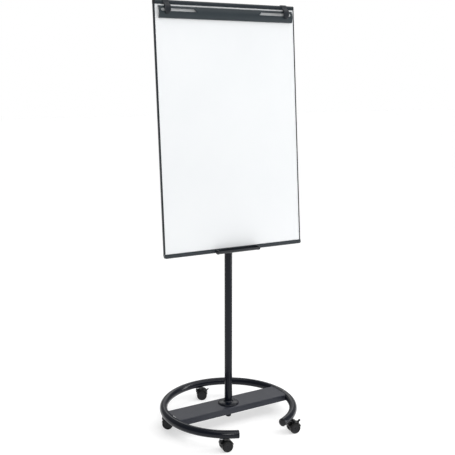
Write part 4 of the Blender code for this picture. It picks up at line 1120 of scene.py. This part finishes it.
# %% The bar's strips
round_end = SLOT_OUT - SLOT_CORNER
half_x = np.concatenate([np.linspace(0.0, SLOT_IN - SLANT, 12),
                         np.linspace(SLOT_IN - SLANT, SLOT_IN + SLANT, 8)[1:],
                         np.linspace(SLOT_IN + SLANT, round_end, 16)[1:],
                         round_end + SLOT_CORNER * np.sin(np.linspace(0, np.pi / 2, 8))[1:],
                         np.linspace(SLOT_OUT + 0.002, BAR_HALF, 5)])
bar_x = np.concatenate([-half_x[::-1], half_x[1:]])[None, :]
slot_low, slot_high = slot_edges(bar_x)
s = np.linspace(0.0, 1.0, 12)[:, None]
lower_up = BAR_LOW + (slot_low - BAR_LOW) * s
upper_up = slot_high + (BAR_TOP - slot_high) * s
low_flange = np.array([0.0117, 0.0138, 0.0154])[:, None]
top_flange = np.array([0.0154, 0.0130, 0.0084])[:, None]
bar = Shell().add(np.concatenate([on_rail(bar_x, low_flange, BAR_LOW),
                                  on_rail(bar_x, arch(lower_up), lower_up)]), wrap_columns=False)
bar.add(np.concatenate([on_rail(bar_x, arch(upper_up), upper_up),
                        on_rail(bar_x, top_flange, BAR_TOP)]), wrap_columns=False)
print("bar grid", bar.count, "points")

# %% The bar's wall and eased edges
clamp_bar = bar.piece("clamp bar profile", 30)
front_most = max(clamp_bar.data.polygons, key=lambda face: face.center @ Vector(OUT))
if front_most.normal @ Vector(OUT) < 0:
    clamp_bar.data.flip_normals()
wall = clamp_bar.modifiers.new("wall", "SOLIDIFY")
wall.thickness, wall.offset = BAR_WALL, -1.0
ease(clamp_bar, 0.0004, 2, 50)
fit(clamp_bar, "clamp_lacquer", "clamp_bar")

# %% [markdown]
# ## Hooks
# A hook snaps over the top rail, dips in a neck and ends in a broad tongue, which a pad's
# punched hole goes over. Behind the tongue a round pin runs in the bar's slot. The hook is a
# strap along a line: its half width and half thickness change along the line, and its section
# is a superellipse, |x|^4 + |y|^4 = 1.

# %% Hook
def hook(name, node):
    """The strap and, behind its tongue, the turned pin that runs in the slot."""
    low, high = box(node)
    middle = (low[0] + high[0]) / 2
    saddle = arc(0.0121, 65, 178, 14) * [-1, 1]
    tongue = [(0.0150, -0.0062), (0.0212, -0.0116), (0.0266, -0.0176), (0.0288, -0.0250),
              (0.0289, -0.0340), (0.0288, -0.0440), (0.0284, -0.0535)]
    line = smooth_line(np.concatenate([saddle, tongue]), 150)
    steps = np.linalg.norm(np.diff(line, axis=0), axis=1)
    length = np.concatenate([[0.0], np.cumsum(steps)])
    end = length[-1]
    stops = [0.0, 0.0006, 0.0200, 0.0270, 0.0330, 0.0400, 0.0490,
             end - 0.0170, end - 0.0080, end - 0.0030, end - 0.0008, end]
    widths = np.interp(length, stops, [0.0138, 0.0150, 0.0150, 0.0142, 0.0131, 0.0137, 0.0150,
                                       0.0143, 0.0108, 0.0066, 0.0036, 0.0008])
    thick = np.interp(length, stops, [0.0006, 0.0011, 0.0011, 0.0016, 0.0026, 0.0034, 0.0043,
                                      0.0044, 0.0040, 0.0032, 0.0022, 0.0006])
    shell = Shell().add(strap(line, widths, thick, on_rail, middle, 56), ends=True)
    pin = [(0.0, 0.0084), (0.0035, 0.0084), (0.0040, 0.0089), (0.0040, 0.0262), (0.0, 0.0262)]
    shell.add(turned(pin, on_rail(middle, 0.0, SLOT_UP), OUT, 32))
    fit(shell.piece(name, 45), "grey_plastic", node)


hook("hook on the left", "hook_left")
hook("hook on the right", "hook_right")

# %% [markdown]
# ## Pen tray
# The tray is a shallow trough under the lower rail with a moulded cap on each end.

# %% Trough and caps
TRAY_HALF, TRAY_CAP, TRAY_WALL = 0.105, 0.004, 0.002
tray_line = np.array([(0.0050, 0.0165), (0.0050, 0.0035), (0.0085, -0.0005), (0.0220, -0.0030),
                      (0.0330, -0.0010), (0.0405, 0.0045), (0.0440, 0.0115)])
under = eased(tray_line, 0.0035, 6)
slope = np.gradient(under, axis=0)
slope /= np.linalg.norm(slope, axis=1, keepdims=True)
inside = under + TRAY_WALL * np.stack([-slope[:, 1], slope[:, 0]], -1)
trough = np.concatenate([under, inside[::-1]])
trough_grid = drawn(trough, TRAY_HALF - TRAY_CAP - CLEAR, on_board)
fit(Shell().add(trough_grid, ends=True).piece("tray trough", 35), "grey_plastic", "pen_tray")


# %% Tray caps
def tray_cap(name, node, side):
    """The trough's outline closed by a straight top, with both faces eased."""
    low = tray_line - [0.0, 0.0010]
    plate = np.concatenate([[(0.0050, 0.0175)], low[1:-1], [(0.0440, 0.0125), (0.0380, 0.0145)]])
    outline = eased(plate, 0.002, 4, closed=True)
    middle = side * (TRAY_HALF - TRAY_CAP / 2)

    def place(across, out, up):
        return on_board(across + middle, out, up)

    grid = drawn(outline, TRAY_CAP / 2, place, 0.0010, 4)
    fit(Shell().add(grid, ends=True).piece(name, 40), "grey_plastic", node)


tray_cap("tray cap left end", "tray_cap_left", -1)
tray_cap("tray cap right end", "tray_cap_right", 1)

# %% [markdown]
# ## Rivets on the back
# The spine is riveted to the board's backing through its two flanges. A rivet's head is a low
# dome: height = h * sqrt(1 - (r / R)^2), with a short skirt.

# %% Rivet heads
def rivet_head(centre, radius=0.0034, height=0.0013):
    """Height = h * sqrt(1 - (r / R)^2), above a skirt that sinks CLEAR into the flange."""
    r = radius * np.sin(np.linspace(0.0, np.pi / 2, 7))
    rise = height * np.sqrt(np.maximum(1 - (r / radius) ** 2, 0.0)) + CLEAR
    profile = np.concatenate([np.stack([r, rise], -1), [(radius, -CLEAR), (0.0, -CLEAR)]])
    return turned(profile, centre, -OUT, 20)


BOARD_DEPTH, SPINE_WALL = 0.0135, 0.0015
RIVET_ROWS, RIVET_ACROSS = np.linspace(0.255, 0.910, 8), 0.0375
skin = BOARD_DEPTH + CLEAR + SPINE_WALL         # the flanges' outer face, behind the front
rivets = Shell()
for up in RIVET_ROWS:
    for across in (-RIVET_ACROSS, RIVET_ACROSS):
        rivets.add(rivet_head(on_board(across, -skin, up)))
fit(rivets.piece("spine rivets", 40), "zinc_steel", body="board")

# %% [markdown]
# ## Studio
# The floor is one large pale sheet that glows a little, so that it stays white away from the
# lamps. A white surround lights everything softly and gives the black tubes their pale edges.
# A wide sun from above gives the channel and the rail their lighter tops, with almost no
# shadow. Four lamps add shape: a key above the board, a fill in front of it, a strip on the
# right that draws the bright line down the pole, and a broad one behind for the ring.

# %% Floor
floor_mesh = bpy.data.meshes.new("studio_floor")
FLOOR_HALF = 30.0
span = np.linspace(-FLOOR_HALF, FLOOR_HALF, 3)
floor_grid = np.stack(np.meshgrid(span, span, [0.0], indexing="ij"), -1)[:, :, 0]
floor_faces = grid_faces(3, 3, False, False)[:, ::-1]      # turned so that they face up
floor_mesh.from_pydata(floor_grid.reshape(-1, 3), [], floor_faces.tolist())
floor = bpy.data.objects.new("studio_floor", floor_mesh)
bpy.context.scene.collection.objects.link(floor)
pale = Finish("pale floor", (0.55, 0.55, 0.55), 0.9, Specular_IOR_Level=0.0,
              Emission_Color=(1.0, 1.0, 1.0, 1.0), Emission_Strength=0.54)
floor_mesh.materials.append(pale.material)
print("floor", 2 * FLOOR_HALF, "m wide")

# %% Surround
# It is brighter behind the easel than in front of it. Where it is seen directly it is plain
# white.
world = bpy.data.worlds.new("surround")
bpy.context.scene.world = world
world.use_nodes = True
surround = world.node_tree.nodes["Background"]
surround.inputs["Color"].default_value = (1.0, 1.0, 1.0, 1.0)
direction = world.node_tree.nodes.new("ShaderNodeTexCoord")
parts = world.node_tree.nodes.new("ShaderNodeSeparateXYZ")
wash = world.node_tree.nodes.new("ShaderNodeMapRange")
path = world.node_tree.nodes.new("ShaderNodeLightPath")
brighter = world.node_tree.nodes.new("ShaderNodeMath")
brighter.operation = "MAXIMUM"
for socket, value in (("From Min", -0.4), ("From Max", 0.7), ("To Min", 0.20), ("To Max", 0.42)):
    wash.inputs[socket].default_value = value
link = world.node_tree.links.new
link(direction.outputs["Generated"], parts.inputs["Vector"])
link(parts.outputs["Y"], wash.inputs["Value"])
link(wash.outputs["Result"], brighter.inputs[0])
link(path.outputs["Is Camera Ray"], brighter.inputs[1])
link(brighter.outputs["Value"], surround.inputs["Strength"])


print("surround lights with 0.20 in front to 0.42 behind")


# %% Lamps
def lamp(name, place, aim, width, height, power):
    """A rectangular lamp at a place, turned towards what it is aimed at; power in watts."""
    light = bpy.data.lights.new(name, "AREA")
    light.shape, light.size, light.size_y, light.energy = "RECTANGLE", width, height, power
    made = bpy.data.objects.new(name, light)
    bpy.context.scene.collection.objects.link(made)
    made.location = place
    towards = Vector(aim) - Vector(place)
    made.rotation_euler = towards.to_track_quat("-Z", "Y").to_euler()
    print("lamp", name, power, "W")


sun = bpy.data.lights.new("overhead wash", "SUN")
sun.energy, sun.angle = 1.9, math.radians(80)
overhead = bpy.data.objects.new("overhead wash", sun)
bpy.context.scene.collection.objects.link(overhead)
from_above = Vector((0.26, -0.30, 0.92))
overhead.rotation_euler = from_above.to_track_quat("Z", "Y").to_euler()
lamp("key", (-0.5, -1.7, 2.5), (0.0, 0.0, 2.0), 0.8, 0.6, 9.0)
lamp("side strip", (2.2, -1.0, 1.2), (0.0, 0.0, 0.7), 0.30, 2.2, 30.0)
lamp("back strip", (1.5, 2.6, 2.1), (0.0, 0.0, 0.1), 2.4, 1.20, 14.0)
lamp("front fill", (-1.45, -2.75, 1.45), (0.0, 0.0, 1.85), 0.8, 0.8, 22.0)

# %% Camera
camera = bpy.data.cameras.new("camera")
camera.sensor_width, camera.lens, camera.shift_y = 36.0, 61.493, -0.06
viewpoint = bpy.data.objects.new("camera", camera)
bpy.context.scene.collection.objects.link(viewpoint)
viewpoint.location = (-1.6807, -3.0644, 1.5957)
viewpoint.rotation_euler = (math.radians(81.244), 0.0, math.radians(-28.783))
bpy.context.scene.camera = viewpoint
bpy.context.scene.view_settings.view_transform = "Standard"
print("camera lens", camera.lens, "mm")
